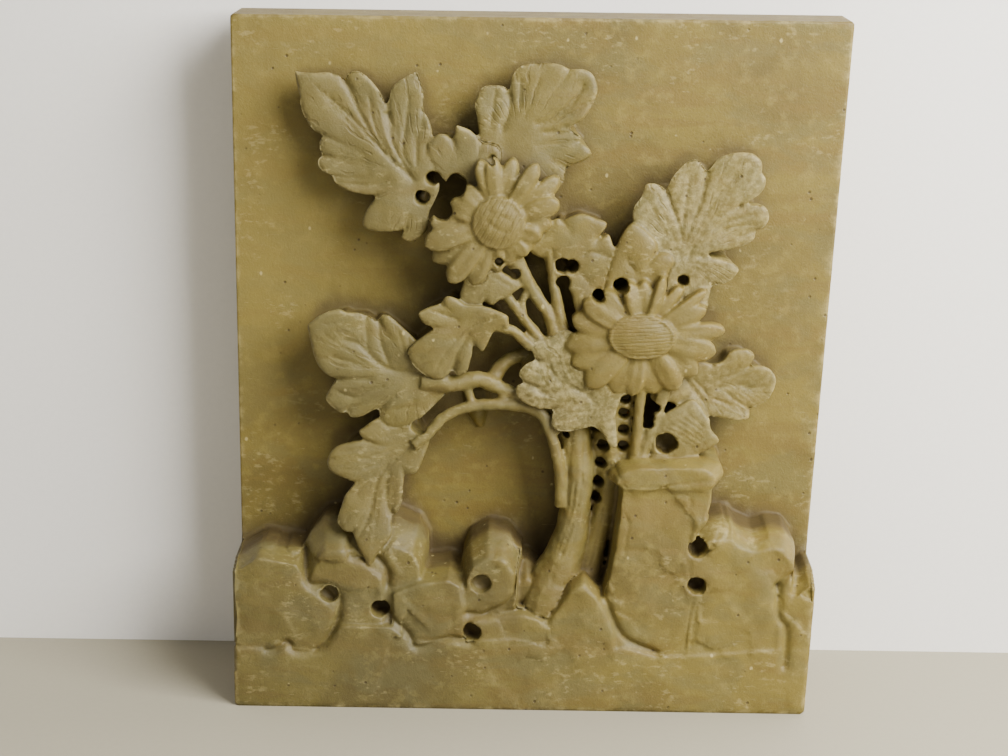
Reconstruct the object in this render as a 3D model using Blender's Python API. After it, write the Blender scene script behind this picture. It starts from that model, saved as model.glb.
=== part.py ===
"""A soapstone plaque: flowers, rocks and a stone pillar carved from one sawn block, leaving a plain panel."""

import math

import bmesh
import bpy
from mathutils import Vector

# Driving sizes of the sawn block, in metres
WIDTH = 0.127
HEIGHT = 0.145
PANEL_THICKNESS = 0.0152
RELIEF_DEPTH = 0.0167
RIGHT_EDGE_LEAN = 0.0052
SAW_ALLOWANCE = 0.002

# Drills that the carver used, in metres across
FINE_DRILL = 0.0026
LEAF_DRILL = 0.0031
ROCK_DRILL = 0.0040
WIDE_DRILL = 0.0050
DRILL_SIDES = 8
DRILL_POINT = 0.8

# The carving is drawn on a grid this wide, high and deep, and takes its size from the block.
# A grid place is (x from the middle, z above the underside), and a rise is counted up from the panel's face.
GRID_WIDTH = 127.0
GRID_HEIGHT = 145.0
GRID_DEPTH = 16.7

# How the carving is cut, in grid units
ROOT = 3.0
LEAF_UNDERCUT = 0.10
LEAF_SHOULDER = 0.62
LEAF_DOME = 0.8
VEIN_CUT = 0.6
LEAF_HEART = 0.10
LOBE_BULGE = 0.16
SHORT_SIDE = 3.4
STEM_SIDES = 6
DISC_SIDES = 16
OVERSIZE = 6.0

PANEL_FACE = (RELIEF_DEPTH - PANEL_THICKNESS) / 2

# Leaves: rib is the line that the side veins leave, rise the height of the leaf at its heart, tilt the change of
# rise along x and z, and edge the lobe tips and the notches between them, in turn.
LEAVES = {
    "upper_left_leaf": {
        "rib": ((-27.0, 114.0), (-33.0, 121.0)),
        "rise": 8.6,
        "tilt": (0.03, -0.06),
        "edge": (
            (-50.0, 133.7), (-46.3, 133.4), (-42.0, 134.4), (-40.0, 133.0), (-36.8, 134.6), (-30.8, 126.2),
            (-25.1, 135.0), (-22.9, 126.2), (-20.8, 119.0), (-20.2, 111.0), (-24.4, 100.0), (-27.3, 103.4),
            (-35.9, 102.0), (-32.8, 109.8), (-40.4, 110.2), (-43.4, 113.8), (-45.8, 116.6), (-44.4, 121.7),
        ),
    },
    "upper_middle_leaf": {
        "rib": ((-6.0, 119.5), (3.0, 128.0)),
        "rise": 7.0,
        "tilt": (0.0, -0.05),
        "edge": (
            (-11.4, 131.9), (-6.9, 131.7), (-5.0, 135.2), (-2.5, 135.7), (3.2, 136.7), (6.6, 135.2),
            (11.2, 134.2), (11.3, 129.8), (10.6, 126.7), (7.1, 123.6), (10.6, 118.3), (6.4, 115.7),
            (4.0, 111.5), (-4.0, 110.0), (-11.5, 112.0), (-12.2, 121.5),
        ),
    },
    "upper_middle_side_leaf": {
        "rib": ((-14.0, 116.5), (-14.0, 118.0)),
        "rise": 8.6,
        "tilt": (0.0, 0.0),
        "edge": (
            (-22.8, 118.6), (-17.9, 120.0), (-16.8, 124.6), (-12.8, 122.4), (-8.0, 119.0), (-9.0, 111.0),
            (-16.0, 110.5), (-19.5, 113.6),
        ),
    },
    "upper_right_leaf": {
        "rib": ((31.0, 100.0), (37.0, 108.5)),
        "rise": 10.4,
        "tilt": (0.0, -0.05),
        "edge": (
            (18.7, 106.7), (20.5, 109.0), (22.3, 113.3), (25.0, 112.1), (31.2, 118.2), (33.5, 115.8),
            (41.2, 120.2), (45.0, 116.8), (46.2, 114.1), (42.9, 110.1), (47.2, 106.9), (44.4, 103.2),
            (42.8, 100.2), (34.6, 98.6), (41.2, 95.3), (36.6, 92.2), (34.0, 86.5), (27.0, 88.0),
            (21.0, 93.0), (20.5, 100.5),
        ),
    },
    "bud_leaf": {
        "rib": ((20.5, 94.5), (20.5, 98.5)),
        "rise": 11.4,
        "tilt": (0.0, -0.05),
        "edge": (
            (18.6, 105.4), (23.8, 99.9), (28.0, 97.4), (26.6, 94.4), (25.0, 88.5), (17.0, 88.0),
            (13.6, 91.0), (15.6, 99.2),
        ),
    },
    "middle_leaf": {
        "rib": ((10.5, 98.0), (8.0, 101.5)),
        "rise": 10.6,
        "tilt": (0.02, -0.03),
        "edge": (
            (14.8, 102.7), (12.2, 101.6), (13.3, 105.2), (11.0, 105.5), (8.1, 107.5), (5.0, 105.0),
            (1.6, 104.6), (0.4, 101.3), (-2.4, 98.3), (1.0, 96.4), (9.2, 87.0), (13.6, 88.8),
            (18.0, 90.5), (15.9, 98.6),
        ),
    },
    "flower_stem_leaf": {
        "rib": ((-11.5, 91.0), (-9.5, 91.0)),
        "rise": 11.6,
        "tilt": (-0.04, 0.0),
        "edge": (
            (-16.6, 88.6), (-11.5, 87.5), (-9.5, 86.5), (-6.6, 89.1), (-2.8, 91.4), (-6.0, 92.7),
            (-9.5, 96.5), (-15.0, 93.0),
        ),
    },
    "left_lower_leaf": {
        "rib": ((-25.5, 71.8), (-36.5, 77.3)),
        "rise": 11.4,
        "tilt": (0.01, -0.02),
        "edge": (
            (-48.2, 81.8), (-44.0, 84.6), (-40.2, 85.9), (-34.0, 84.4), (-30.9, 85.6), (-26.2, 80.6),
            (-21.5, 76.5), (-18.3, 72.0), (-17.3, 68.8), (-21.8, 66.3), (-28.6, 60.6), (-32.8, 64.7),
            (-38.2, 62.9), (-39.6, 64.7), (-44.2, 67.4), (-41.6, 71.7), (-45.6, 74.0), (-47.0, 77.5),
        ),
    },
    "left_upper_leaf": {
        "rib": ((-15.0, 80.3), (-19.5, 78.5)),
        "rise": 13.4,
        "tilt": (0.03, 0.0),
        "edge": (
            (-25.4, 85.9), (-20.4, 86.9), (-17.6, 89.2), (-14.5, 87.6), (-7.0, 85.6), (-8.4, 82.8),
            (-11.0, 78.2), (-13.3, 79.6), (-14.9, 72.9), (-17.5, 74.2), (-20.6, 71.7), (-23.8, 72.6),
            (-27.2, 77.4), (-21.2, 82.8),
        ),
    },
    "hanging_leaf": {
        "rib": ((-28.5, 58.5), (-34.0, 41.5)),
        "rise": 12.2,
        "tilt": (0.0, -0.14),
        "edge": (
            (-37.2, 60.8), (-35.6, 58.8), (-43.6, 55.0), (-37.4, 50.6), (-41.8, 42.4), (-38.0, 40.6),
            (-34.0, 33.6), (-30.2, 41.6), (-29.0, 43.6), (-30.8, 45.8), (-27.4, 47.4), (-27.2, 51.8),
            (-22.4, 57.0), (-23.4, 62.0), (-28.0, 63.5), (-32.6, 62.6),
        ),
    },
    "curled_leaf": {
        "rib": ((7.5, 72.0), (7.0, 67.5)),
        "rise": 12.6,
        "tilt": (0.02, -0.08),
        "edge": (
            (-2.2, 79.8), (0.3, 76.5), (-4.0, 73.6), (-2.2, 71.3), (-4.6, 69.2), (0.6, 65.6),
            (3.0, 61.2), (8.8, 61.4), (13.6, 60.6), (15.9, 64.0), (19.0, 71.0), (13.0, 76.0),
            (7.0, 82.5), (2.5, 81.0),
        ),
    },
    "right_leaf": {
        "rib": ((35.5, 70.5), (39.5, 70.5)),
        "rise": 10.0,
        "tilt": (-0.06, 0.0),
        "edge": (
            (36.6, 78.6), (40.5, 77.9), (45.6, 77.4), (42.0, 73.3), (50.6, 71.4), (46.6, 65.2),
            (44.8, 62.2), (39.8, 62.9), (34.6, 64.4), (30.8, 68.0), (27.5, 72.0), (31.5, 76.0),
        ),
    },
    "pillar_leaf": {
        "rib": ((29.5, 61.5), (32.0, 62.5)),
        "rise": 11.8,
        "tilt": (0.0, 0.0),
        "edge": (
            (30.0, 70.0), (35.0, 65.0), (38.3, 60.6), (35.5, 57.2), (31.0, 53.0), (26.0, 53.0),
            (22.8, 56.5), (24.0, 64.5),
        ),
    },
}

# Flowers: the middle disc and each petal's bearing in degrees and reach
FLOWERS = {
    "upper_flower": {
        "centre": (-8.2, 105.1),
        "disc": (5.4, 5.3),
        "rise": 13.6,
        "petals": (
            (111, 12.8), (97, 12.8), (75, 13.1), (54, 14.3), (35, 15.1), (17, 13.0), (359, 10.8), (342, 9.3),
            (325, 8.9), (307, 9.0), (287, 9.3), (266, 10.4), (247, 14.0), (229, 16.0), (213, 15.8), (197, 15.7),
            (181, 13.9), (163, 10.6), (137, 10.3),
        ),
    },
    "lower_flower": {
        "centre": (21.3, 82.1),
        "disc": (6.9, 4.5),
        "rise": 14.6,
        "petals": (
            (5, 17.3), (345, 16.0), (327, 14.4), (306, 13.9), (284, 13.2), (264, 12.8), (244, 13.4), (223, 15.4),
            (205, 15.4), (187, 15.6), (169, 14.6), (152, 13.8), (133, 11.9), (106, 11.3), (86, 11.4), (69, 13.2),
            (53, 13.6), (35, 16.1), (19, 14.3),
        ),
    },
}
PETAL_ROOT = 4.0
PETAL_WIDTH = 1.85
PETAL_THICKNESS = 3.0
PETAL_CREST = 0.7

# Along a petal: share of its length, share of its width, and lift of its crest from the flower's rise
PETAL_STATIONS = ((0.0, 0.60, -0.4), (0.45, 0.92, 0.2), (0.80, 0.90, 0.0), (1.0, 0.30, -0.7))

# Rings of a flower's middle, from the back: share of the disc's width and height, and lift from the flower's rise
CALYX_FOOT = (1.15, 1.25)
CALYX_STATIONS = ((1.45, 1.65, -4.2), (1.05, 1.05, -1.0))
DISC_STATIONS = ((1.0, 1.0, -2.0), (1.0, 1.0, 0.2), (0.82, 0.82, 1.1), (0.30, 0.30, 1.5))

# Stems: places along each as (x, z, rise, radius)
STEMS = {
    "front_trunk": (
        (2.6, 16.0, 9.0, 7.0), (3.6, 24.0, 9.0, 6.2), (6.0, 31.5, 9.2, 4.4), (8.2, 40.0, 9.4, 3.5),
        (9.2, 50.0, 9.6, 3.3), (8.6, 57.0, 9.8, 3.4), (8.0, 66.0, 9.6, 3.6),
    ),
    "back_trunk": (
        (10.0, 22.0, 6.6, 4.4), (12.2, 33.0, 7.2, 3.0), (14.6, 42.0, 7.8, 2.4), (16.0, 52.0, 8.4, 2.2),
        (16.3, 62.0, 9.0, 1.7), (16.2, 72.0, 10.0, 1.6),
    ),
    "trunk_edge": (
        (5.6, 44.0, 10.6, 1.3), (5.2, 52.0, 11.0, 1.3), (3.6, 59.0, 11.2, 1.2), (1.2, 64.6, 10.8, 1.1),
    ),
    "arched_branch": (
        (5.0, 60.5, 10.5, 1.3), (1.2, 64.4, 10.5, 1.3), (-3.5, 66.0, 10.4, 1.2), (-9.5, 66.2, 10.4, 1.2),
        (-15.0, 65.4, 10.6, 1.2), (-19.3, 63.4, 11.0, 1.1), (-22.4, 60.0, 11.6, 1.2), (-25.5, 57.5, 12.0, 1.3),
    ),
    "upper_branch": (
        (-24.0, 71.0, 10.6, 2.0), (-18.0, 70.6, 10.8, 1.8), (-12.0, 71.4, 9.8, 1.8), (-7.0, 69.2, 9.2, 1.6),
        (-1.0, 66.8, 9.8, 1.4),
    ),
    "branch_link_outer": ((-14.6, 70.6, 10.0, 1.0), (-13.2, 65.4, 10.2, 0.9)),
    "branch_link_inner": ((-8.4, 71.0, 9.6, 1.1), (-6.2, 66.2, 10.0, 1.0)),
    "branch_knot": ((-9.5, 70.5, 8.0, 1.9), (-6.5, 74.5, 6.8, 1.5), (-1.5, 76.5, 6.0, 1.5)),
    "left_leaf_stem": ((-9.0, 83.6, 12.4, 1.2), (-5.2, 82.4, 11.8, 1.1), (-1.0, 79.0, 11.6, 1.2)),
    "fork_stem": ((1.5, 79.0, 10.6, 1.4), (-2.6, 84.4, 10.4, 1.1), (-6.8, 89.9, 10.2, 1.1)),
    "fork_twig": ((-2.8, 84.8, 10.2, 0.8), (-3.2, 88.2, 10.2, 0.8), (-1.8, 91.4, 10.4, 0.8)),
    "flower_stem": (
        (4.4, 79.0, 10.4, 1.8), (2.2, 85.5, 10.2, 1.3), (-1.2, 90.6, 9.8, 1.5), (-5.2, 97.5, 10.4, 1.9),
    ),
    "middle_leaf_stem": (
        (5.6, 80.0, 10.2, 1.6), (4.2, 87.0, 10.0, 1.2), (3.0, 93.0, 9.6, 1.1), (2.2, 99.0, 9.4, 1.3),
    ),
    "lower_flower_stem": ((20.8, 54.5, 10.6, 1.3), (21.2, 62.0, 11.2, 1.1), (21.8, 73.0, 12.0, 1.2)),
    "right_leaf_stem": ((22.0, 55.0, 10.6, 1.3), (24.2, 62.0, 11.0, 1.2), (27.0, 71.5, 11.0, 1.4)),
    "panel_thorn": ((-12.6, 66.0, -1.0, 3.2), (-12.4, 62.5, 0.6, 2.2), (-11.8, 58.6, 0.6, 0.6)),
    "tangled_root": ((-1.5, 72.0, 7.0, 2.4), (2.5, 78.0, 8.0, 2.6), (6.5, 82.0, 8.8, 2.6)),
}

# Rocks: corners are the outline at the shoulder, foot the place that the front face shrinks towards,
# shoulder and face the rises of the outline and of the front face, and bevel how much the face shrinks.
ROCKS = {
    "far_left_rock": {
        "corners": (
            (-70.0, 8.0), (-70.0, 31.0), (-62.6, 32.6), (-58.0, 35.2), (-54.0, 34.6), (-49.0, 33.6),
            (-46.4, 27.6), (-40.2, 22.0), (-43.5, 12.0), (-44.0, 8.0),
        ),
        "foot": (-56.0, 14.0), "shoulder": 10.5, "face": 16.2, "bevel": 0.08,
    },
    "left_peak_rock": {
        "corners": (
            (-48.6, 8.0), (-49.4, 33.4), (-47.6, 37.0), (-44.6, 40.4), (-40.4, 41.0), (-36.0, 38.6),
            (-30.0, 33.0), (-29.8, 8.0),
        ),
        "foot": (-39.5, 10.0), "shoulder": 9.0, "face": 15.8, "bevel": 0.19,
    },
    "left_crag_rock": {
        "corners": (
            (-36.0, 10.0), (-36.0, 39.0), (-29.6, 41.0), (-24.4, 38.9), (-22.4, 35.0), (-23.0, 10.0),
        ),
        "foot": (-31.0, 12.0), "shoulder": 8.0, "face": 15.0, "bevel": 0.17,
    },
    "left_low_rock": {
        "corners": (
            (-30.8, 8.0), (-30.2, 27.0), (-24.8, 29.4), (-17.8, 30.6), (-14.6, 29.0), (-13.4, 22.0),
            (-14.6, 8.0),
        ),
        "foot": (-22.0, 12.0), "shoulder": 11.5, "face": 16.2, "bevel": 0.08,
    },
    "round_rock": {
        "corners": (
            (-16.2, 12.0), (-15.4, 31.6), (-13.6, 35.6), (-9.6, 38.2), (-5.6, 37.4), (-2.4, 33.4),
            (-2.4, 27.0), (-3.0, 12.0),
        ),
        "foot": (-9.0, 14.0), "shoulder": 8.8, "face": 15.8, "bevel": 0.17,
    },
    "rubble": {
        "corners": ((-4.6, 10.0), (-4.6, 29.6), (-1.6, 31.6), (1.4, 29.6), (2.4, 25.0), (3.0, 10.0)),
        "foot": (-1.0, 16.0), "shoulder": 8.0, "face": 12.6, "bevel": 0.2,
    },
    "trunk_foot_rock": {
        "corners": (
            (1.6, 8.0), (3.0, 21.8), (7.6, 28.4), (10.6, 30.0), (13.8, 27.0), (17.4, 21.0), (19.0, 8.0),
        ),
        "foot": (10.5, 10.0), "shoulder": 13.4, "face": 16.3, "bevel": 0.08,
    },
    "ledge_rock": {
        "corners": ((-14.8, 6.0), (-13.6, 20.6), (-8.0, 23.0), (-2.0, 22.6), (3.8, 21.0), (4.2, 6.0)),
        "foot": (-5.0, 10.0), "shoulder": 14.0, "face": 16.2, "bevel": 0.08,
    },
    "pillar": {
        "corners": (
            (14.0, 8.0), (14.4, 26.0), (16.0, 33.0), (17.2, 43.0), (17.4, 53.0), (37.2, 53.0), (37.2, 46.6),
            (36.4, 43.4), (34.2, 40.0), (34.2, 8.0),
        ),
        "foot": (26.5, 30.0), "shoulder": 12.4, "face": 15.2, "bevel": 0.05,
    },
    "pillar_cap": {
        "corners": (
            (14.8, 51.0), (15.2, 53.0), (17.6, 54.8), (21.4, 55.6), (35.8, 55.8), (38.6, 54.6), (39.4, 52.6),
            (38.6, 50.6), (36.6, 49.4), (17.0, 49.2),
        ),
        "foot": (27.0, 50.0), "shoulder": 12.8, "face": 16.6, "bevel": 0.16,
    },
    "right_rock": {
        "corners": (
            (31.0, 8.0), (32.0, 40.0), (37.0, 41.4), (41.6, 42.0), (42.6, 40.4), (46.4, 38.6), (49.6, 39.8),
            (53.0, 39.4), (55.6, 36.4), (55.8, 32.0), (54.5, 8.0),
        ),
        "foot": (44.0, 12.0), "shoulder": 11.0, "face": 15.9, "bevel": 0.09,
    },
    "right_end_rock": {
        "corners": ((50.6, 6.0), (51.0, 26.4), (54.8, 28.6), (58.0, 31.6), (66.0, 31.6), (66.0, 6.0)),
        "foot": (56.0, 8.0), "shoulder": 10.0, "face": 16.4, "bevel": 0.10,
    },
    "ground": {
        "corners": (
            (-70.0, -4.0), (-70.0, 13.2), (-57.6, 13.2), (-55.2, 15.0), (-51.2, 13.2), (-46.0, 12.6),
            (-41.0, 18.8), (-30.4, 18.8), (-26.0, 15.2), (-15.0, 15.6), (-4.0, 16.4), (3.2, 14.6),
            (8.0, 12.3), (20.0, 14.6), (27.4, 12.7), (40.0, 13.6), (54.0, 15.0), (66.0, 13.6), (66.0, -4.0),
        ),
        "foot": (0.0, 0.0), "shoulder": 16.4, "face": 17.4, "bevel": 0.01,
    },
}

# Drilled holes: place, the drill's width, and the rise of the hole's bottom
DRILLED_HOLES = (
    ((-21.8, 112.9), LEAF_DRILL, 1.5),
    ((-23.8, 109.3), LEAF_DRILL, 2.0),
    ((-17.4, 112.6), WIDE_DRILL, 2.5),
    ((-19.4, 107.4), LEAF_DRILL, 2.5),
    ((-24.0, 61.4), LEAF_DRILL, 5.0),
    ((0.5, 93.8), FINE_DRILL, 5.0),
    ((5.6, 95.4), LEAF_DRILL, 3.0),
    ((5.6, 91.6), FINE_DRILL, 3.0),
    ((12.4, 90.0), FINE_DRILL, 4.0),
    ((16.9, 92.2), LEAF_DRILL, 4.0),
    ((27.2, 59.6), WIDE_DRILL, 5.0),
    ((23.2, 65.2), FINE_DRILL, 5.0),
    ((18.5, 68.0), FINE_DRILL, 4.0),
    ((18.4, 64.6), FINE_DRILL, 4.0),
    ((18.4, 60.9), FINE_DRILL, 4.0),
    ((14.2, 57.2), FINE_DRILL, 3.0),
    ((13.8, 53.3), FINE_DRILL, 3.0),
    ((13.4, 49.1), FINE_DRILL, 3.0),
    ((12.9, 45.6), FINE_DRILL, 3.0),
    ((-32.3, 22.2), ROCK_DRILL, 9.0),
    ((-43.0, 25.4), ROCK_DRILL, 11.5),
    ((-12.8, 17.4), ROCK_DRILL, 11.0),
    ((-11.0, 28.6), ROCK_DRILL, 12.5),
    ((34.4, 37.0), ROCK_DRILL, 10.0),
    ((34.3, 28.7), ROCK_DRILL, 10.0),
)


def at(x, z, rise):
    """The world place of a grid place on the relief."""
    return Vector((
        x * WIDTH / GRID_WIDTH,
        PANEL_FACE - rise * RELIEF_DEPTH / GRID_DEPTH,
        z * HEIGHT / GRID_HEIGHT,
    ))


def stone():
    """The one material: olive-cream soapstone with a soft waxy sheen."""
    material = bpy.data.materials.new("soapstone")
    material.use_nodes = True
    shader = material.node_tree.nodes["Principled BSDF"]
    shader.inputs["Base Color"].default_value = (0.37, 0.31, 0.17, 1.0)
    shader.inputs["Roughness"].default_value = 0.42
    shader.inputs["Metallic"].default_value = 0.0
    return material


def solid(name, mesh_maker, collection):
    """A new object from a bmesh, closed, facing out and in triangles."""
    bmesh.ops.triangulate(mesh_maker, faces=mesh_maker.faces)
    bmesh.ops.recalc_face_normals(mesh_maker, faces=mesh_maker.faces)
    mesh = bpy.data.meshes.new(name)
    mesh_maker.to_mesh(mesh)
    mesh_maker.free()
    made = bpy.data.objects.new(name, mesh)
    collection.objects.link(made)
    return made


def loft(name, rings, collection):
    """A closed solid grown from its first ring of points through the others, and capped at both ends."""
    shape = bmesh.new()
    face = shape.faces.new([shape.verts.new(point) for point in rings[0]])
    for number, ring in enumerate(rings[1:]):
        grown = bmesh.ops.extrude_face_region(shape, geom=[face])["geom"]
        if number > 0:
            bmesh.ops.delete(shape, geom=[face], context="FACES_ONLY")
        face = next(part for part in grown if isinstance(part, bmesh.types.BMFace))
        for vert, point in zip(face.verts, ring):
            vert.co = point
    return solid(name, shape, collection)


def lobed_edge(corners):
    """Points round a leaf as (x, z, is a lobe's tip). A long side between a notch and a tip swells outwards."""
    sides = list(zip(corners, corners[1:] + corners[:1]))
    area = sum(ax * bz - bx * az for (ax, az), (bx, bz) in sides)
    outward = math.copysign(LOBE_BULGE, area)
    points = []
    for number, ((ax, az), (bx, bz)) in enumerate(sides):
        points.append((ax, az, number % 2 == 0))
        if math.hypot(bx - ax, bz - az) > SHORT_SIDE:
            points.append(((ax + bx) / 2 + outward * (bz - az), (az + bz) / 2 - outward * (bx - ax), False))
    return points


def nearest_on_rib(x, z, rib):
    """The place on a leaf's rib that is nearest to a point of its edge."""
    (ax, az), (bx, bz) = rib
    span_x, span_z = bx - ax, bz - az
    share = ((x - ax) * span_x + (z - az) * span_z) / (span_x**2 + span_z**2)
    share = min(1.0, max(0.0, share))
    return ax + share * span_x, az + share * span_z


def leaf(name, plan, collection):
    """A domed leaf with veins cut to its lobe tips, standing on undercut walls."""
    heart_x, heart_z = plan["rib"][0]
    tilt_x, tilt_z = plan["tilt"]

    def ring(share, rise_at):
        points = []
        for x, z, is_tip in lobed_edge(plan["edge"]):
            rib_x, rib_z = nearest_on_rib(x, z, plan["rib"])
            ring_x, ring_z = rib_x + share * (x - rib_x), rib_z + share * (z - rib_z)
            points.append(at(ring_x, ring_z, rise_at(ring_x, ring_z, is_tip)))
        return points

    def surface(x, z, _):
        return plan["rise"] + tilt_x * (x - heart_x) + tilt_z * (z - heart_z)

    def domed(x, z, is_tip):
        return surface(x, z, is_tip) + LEAF_DOME - VEIN_CUT * is_tip

    rings = [
        ring(1.0 - LEAF_UNDERCUT, lambda x, z, is_tip: -ROOT),
        ring(1.0, surface),
        ring(LEAF_SHOULDER, domed),
        ring(LEAF_HEART, surface),
    ]
    return loft(name, rings, collection)


def petal(name, centre, bearing, reach, rise, collection):
    """A tongue with a raised crest, from under the disc's rim to a blunt point."""
    angle = math.radians(bearing)
    along = (math.cos(angle), math.sin(angle))
    across = (-along[1], along[0])
    rings = []
    for share, width, lift in PETAL_STATIONS:
        half = width * PETAL_WIDTH
        far = PETAL_ROOT + (reach - PETAL_ROOT) * share
        x, z = centre[0] + along[0] * far, centre[1] + along[1] * far
        top = rise + lift
        section = (
            (half, top - PETAL_THICKNESS),
            (half, top - PETAL_CREST),
            (0.0, top),
            (-half, top - PETAL_CREST),
            (-half, top - PETAL_THICKNESS),
        )
        rings.append([at(x + across[0] * side, z + across[1] * side, height) for side, height in section])
    return loft(name, rings, collection)


def round_ring(centre, radii, rise):
    """Points of an ellipse on the grid at one rise."""
    points = []
    for step in range(DISC_SIDES):
        turn = 2 * math.pi * step / DISC_SIDES
        points.append(at(centre[0] + radii[0] * math.cos(turn), centre[1] + radii[1] * math.sin(turn), rise))
    return points


def flower(name, plan, collection):
    """A flower: a calyx rooted in the panel, a ring of petals and a domed disc."""
    centre, rise = plan["centre"], plan["rise"]
    wide, high = plan["disc"]

    def rings(stations):
        return [round_ring(centre, (wide * across, high * up), rise + lift) for across, up, lift in stations]

    foot = round_ring(centre, (wide * CALYX_FOOT[0], high * CALYX_FOOT[1]), -ROOT)
    loft(name + "_calyx", [foot, *rings(CALYX_STATIONS)], collection)
    loft(name + "_disc", rings(DISC_STATIONS), collection)
    for number, (bearing, reach) in enumerate(plan["petals"], 1):
        petal(f"{name}_petal_{number}", centre, bearing, reach, rise, collection)


def stem(name, places, collection):
    """A round stem through its places, its ends capped inside what it grows from."""
    points = [at(x, z, rise) for x, z, rise, _ in places]
    rings = []
    for index, point in enumerate(points):
        ahead = points[min(index + 1, len(points) - 1)] - points[max(index - 1, 0)]
        side = ahead.normalized().cross(Vector((0, 1, 0))).normalized()
        up = side.cross(ahead.normalized())
        radius = places[index][3] * RELIEF_DEPTH / GRID_DEPTH
        ring = []
        for step in range(STEM_SIDES):
            turn = 2 * math.pi * step / STEM_SIDES
            ring.append(point + (side * math.cos(turn) + up * math.sin(turn)) * radius)
        rings.append(ring)
    return loft(name, rings, collection)


def rock(name, plan, collection):
    """A boulder hewn to flat faces: its outline drops to the panel and its front face is bevelled in."""
    foot_x, foot_z = plan["foot"]
    keep = 1.0 - plan["bevel"]
    corners = plan["corners"]
    face = [(foot_x + (x - foot_x) * keep, foot_z + (z - foot_z) * keep) for x, z in corners]
    rings = [
        [at(x, z, -ROOT) for x, z in corners],
        [at(x, z, plan["shoulder"]) for x, z in corners],
        [at(x, z, plan["face"]) for x, z in face],
    ]
    return loft(name, rings, collection)


def drilled_hole(name, place, width, bottom, collection):
    """A drill's path from in front of the relief to the bottom of its hole."""
    shape = bmesh.new()
    bmesh.ops.create_circle(shape, cap_ends=True, radius=width / 2, segments=DRILL_SIDES)
    rim = [vert.co.copy() for vert in shape.verts]
    shape.free()
    middle = at(*place, bottom)
    front = at(*place, GRID_DEPTH + OVERSIZE)
    near = [Vector((middle.x + point.x, front.y, middle.z + point.y)) for point in rim]
    far = [Vector((middle.x + point.x * DRILL_POINT, middle.y, middle.z + point.y * DRILL_POINT)) for point in rim]
    return loft(name, [far, near], collection)


def block_outline(depth, margin):
    """The block's four corners at one depth, grown by a margin. The right edge leans in towards the foot."""
    return [
        Vector((-WIDTH / 2 - margin, depth, -margin)),
        Vector((WIDTH / 2 - RIGHT_EDGE_LEAN + margin, depth, -margin)),
        Vector((WIDTH / 2 + margin, depth, HEIGHT + margin)),
        Vector((-WIDTH / 2 - margin, depth, HEIGHT + margin)),
    ]


def helper_collection(name):
    """A collection for shapes that only cut or join."""
    made = bpy.data.collections.new(name)
    bpy.context.scene.collection.children.link(made)
    return made


def as_helpers(collection):
    """Leaves a collection's shapes out of the render and draws them as wires."""
    for helper in collection.objects:
        helper.hide_render = True
        helper.display_type = "WIRE"


def boolean(target, name, operation, operand):
    """A Boolean with one object or a whole collection. The exact solver leaves open edges on this relief."""
    modifier = target.modifiers.new(name, "BOOLEAN")
    modifier.operation = operation
    modifier.solver = "MANIFOLD"
    if isinstance(operand, bpy.types.Collection):
        modifier.operand_type = "COLLECTION"
        modifier.collection = operand
    else:
        modifier.object = operand


def main():
    for leftover in list(bpy.data.objects):
        bpy.data.objects.remove(leftover, do_unlink=True)

    relief = helper_collection("relief")
    for name, plan in ROCKS.items():
        rock(name, plan, relief)
    for name, places in STEMS.items():
        stem(name, places, relief)
    for name, plan in LEAVES.items():
        leaf(name, plan, relief)
    for name, plan in FLOWERS.items():
        flower(name, plan, relief)
    as_helpers(relief)

    drills = helper_collection("drills")
    for number, (place, width, bottom) in enumerate(DRILLED_HOLES, 1):
        drilled_hole(f"hole_{number}", place, width, bottom, drills)
    as_helpers(drills)

    saw = helper_collection("saw")
    back = PANEL_FACE + PANEL_THICKNESS
    block = loft("sawn_block", [block_outline(back, 0.0), block_outline(PANEL_FACE - RELIEF_DEPTH, 0.0)], saw)
    as_helpers(saw)

    rough_panel = [block_outline(back + SAW_ALLOWANCE, SAW_ALLOWANCE), block_outline(PANEL_FACE, SAW_ALLOWANCE)]
    plaque = loft("plaque", rough_panel, bpy.context.scene.collection)
    plaque.data.materials.append(stone())
    boolean(plaque, "join the relief", "UNION", relief)
    boolean(plaque, "trim to the block", "INTERSECT", block)
    boolean(plaque, "drill the holes", "DIFFERENCE", drills)


main()
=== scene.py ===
import math

import bmesh
import bpy
import numpy as np
from mathutils import Matrix, Vector, kdtree, noise
from mathutils.bvhtree import BVHTree


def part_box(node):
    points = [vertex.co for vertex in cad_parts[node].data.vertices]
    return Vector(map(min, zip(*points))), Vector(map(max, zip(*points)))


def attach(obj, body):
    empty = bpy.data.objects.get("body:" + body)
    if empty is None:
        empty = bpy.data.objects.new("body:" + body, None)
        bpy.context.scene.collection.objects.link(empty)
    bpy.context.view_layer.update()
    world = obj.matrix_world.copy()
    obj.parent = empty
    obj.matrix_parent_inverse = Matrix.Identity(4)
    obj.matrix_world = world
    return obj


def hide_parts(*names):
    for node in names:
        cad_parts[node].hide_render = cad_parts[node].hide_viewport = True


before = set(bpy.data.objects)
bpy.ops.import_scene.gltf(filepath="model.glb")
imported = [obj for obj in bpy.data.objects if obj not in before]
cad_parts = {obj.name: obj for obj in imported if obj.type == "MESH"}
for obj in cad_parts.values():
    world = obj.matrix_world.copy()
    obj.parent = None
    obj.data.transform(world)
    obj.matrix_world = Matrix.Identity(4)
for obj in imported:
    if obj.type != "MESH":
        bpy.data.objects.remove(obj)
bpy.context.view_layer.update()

# The carving is drawn on the same grid as the frame: x from the middle, z above the underside, and rise up
# from the panel's face, in thousandths of a metre at this plaque's size.
MM = 0.001
BLOCK_LOW, BLOCK_HIGH = (Vector(corner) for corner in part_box("plaque"))
RELIEF_DEPTH = 16.7
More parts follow.
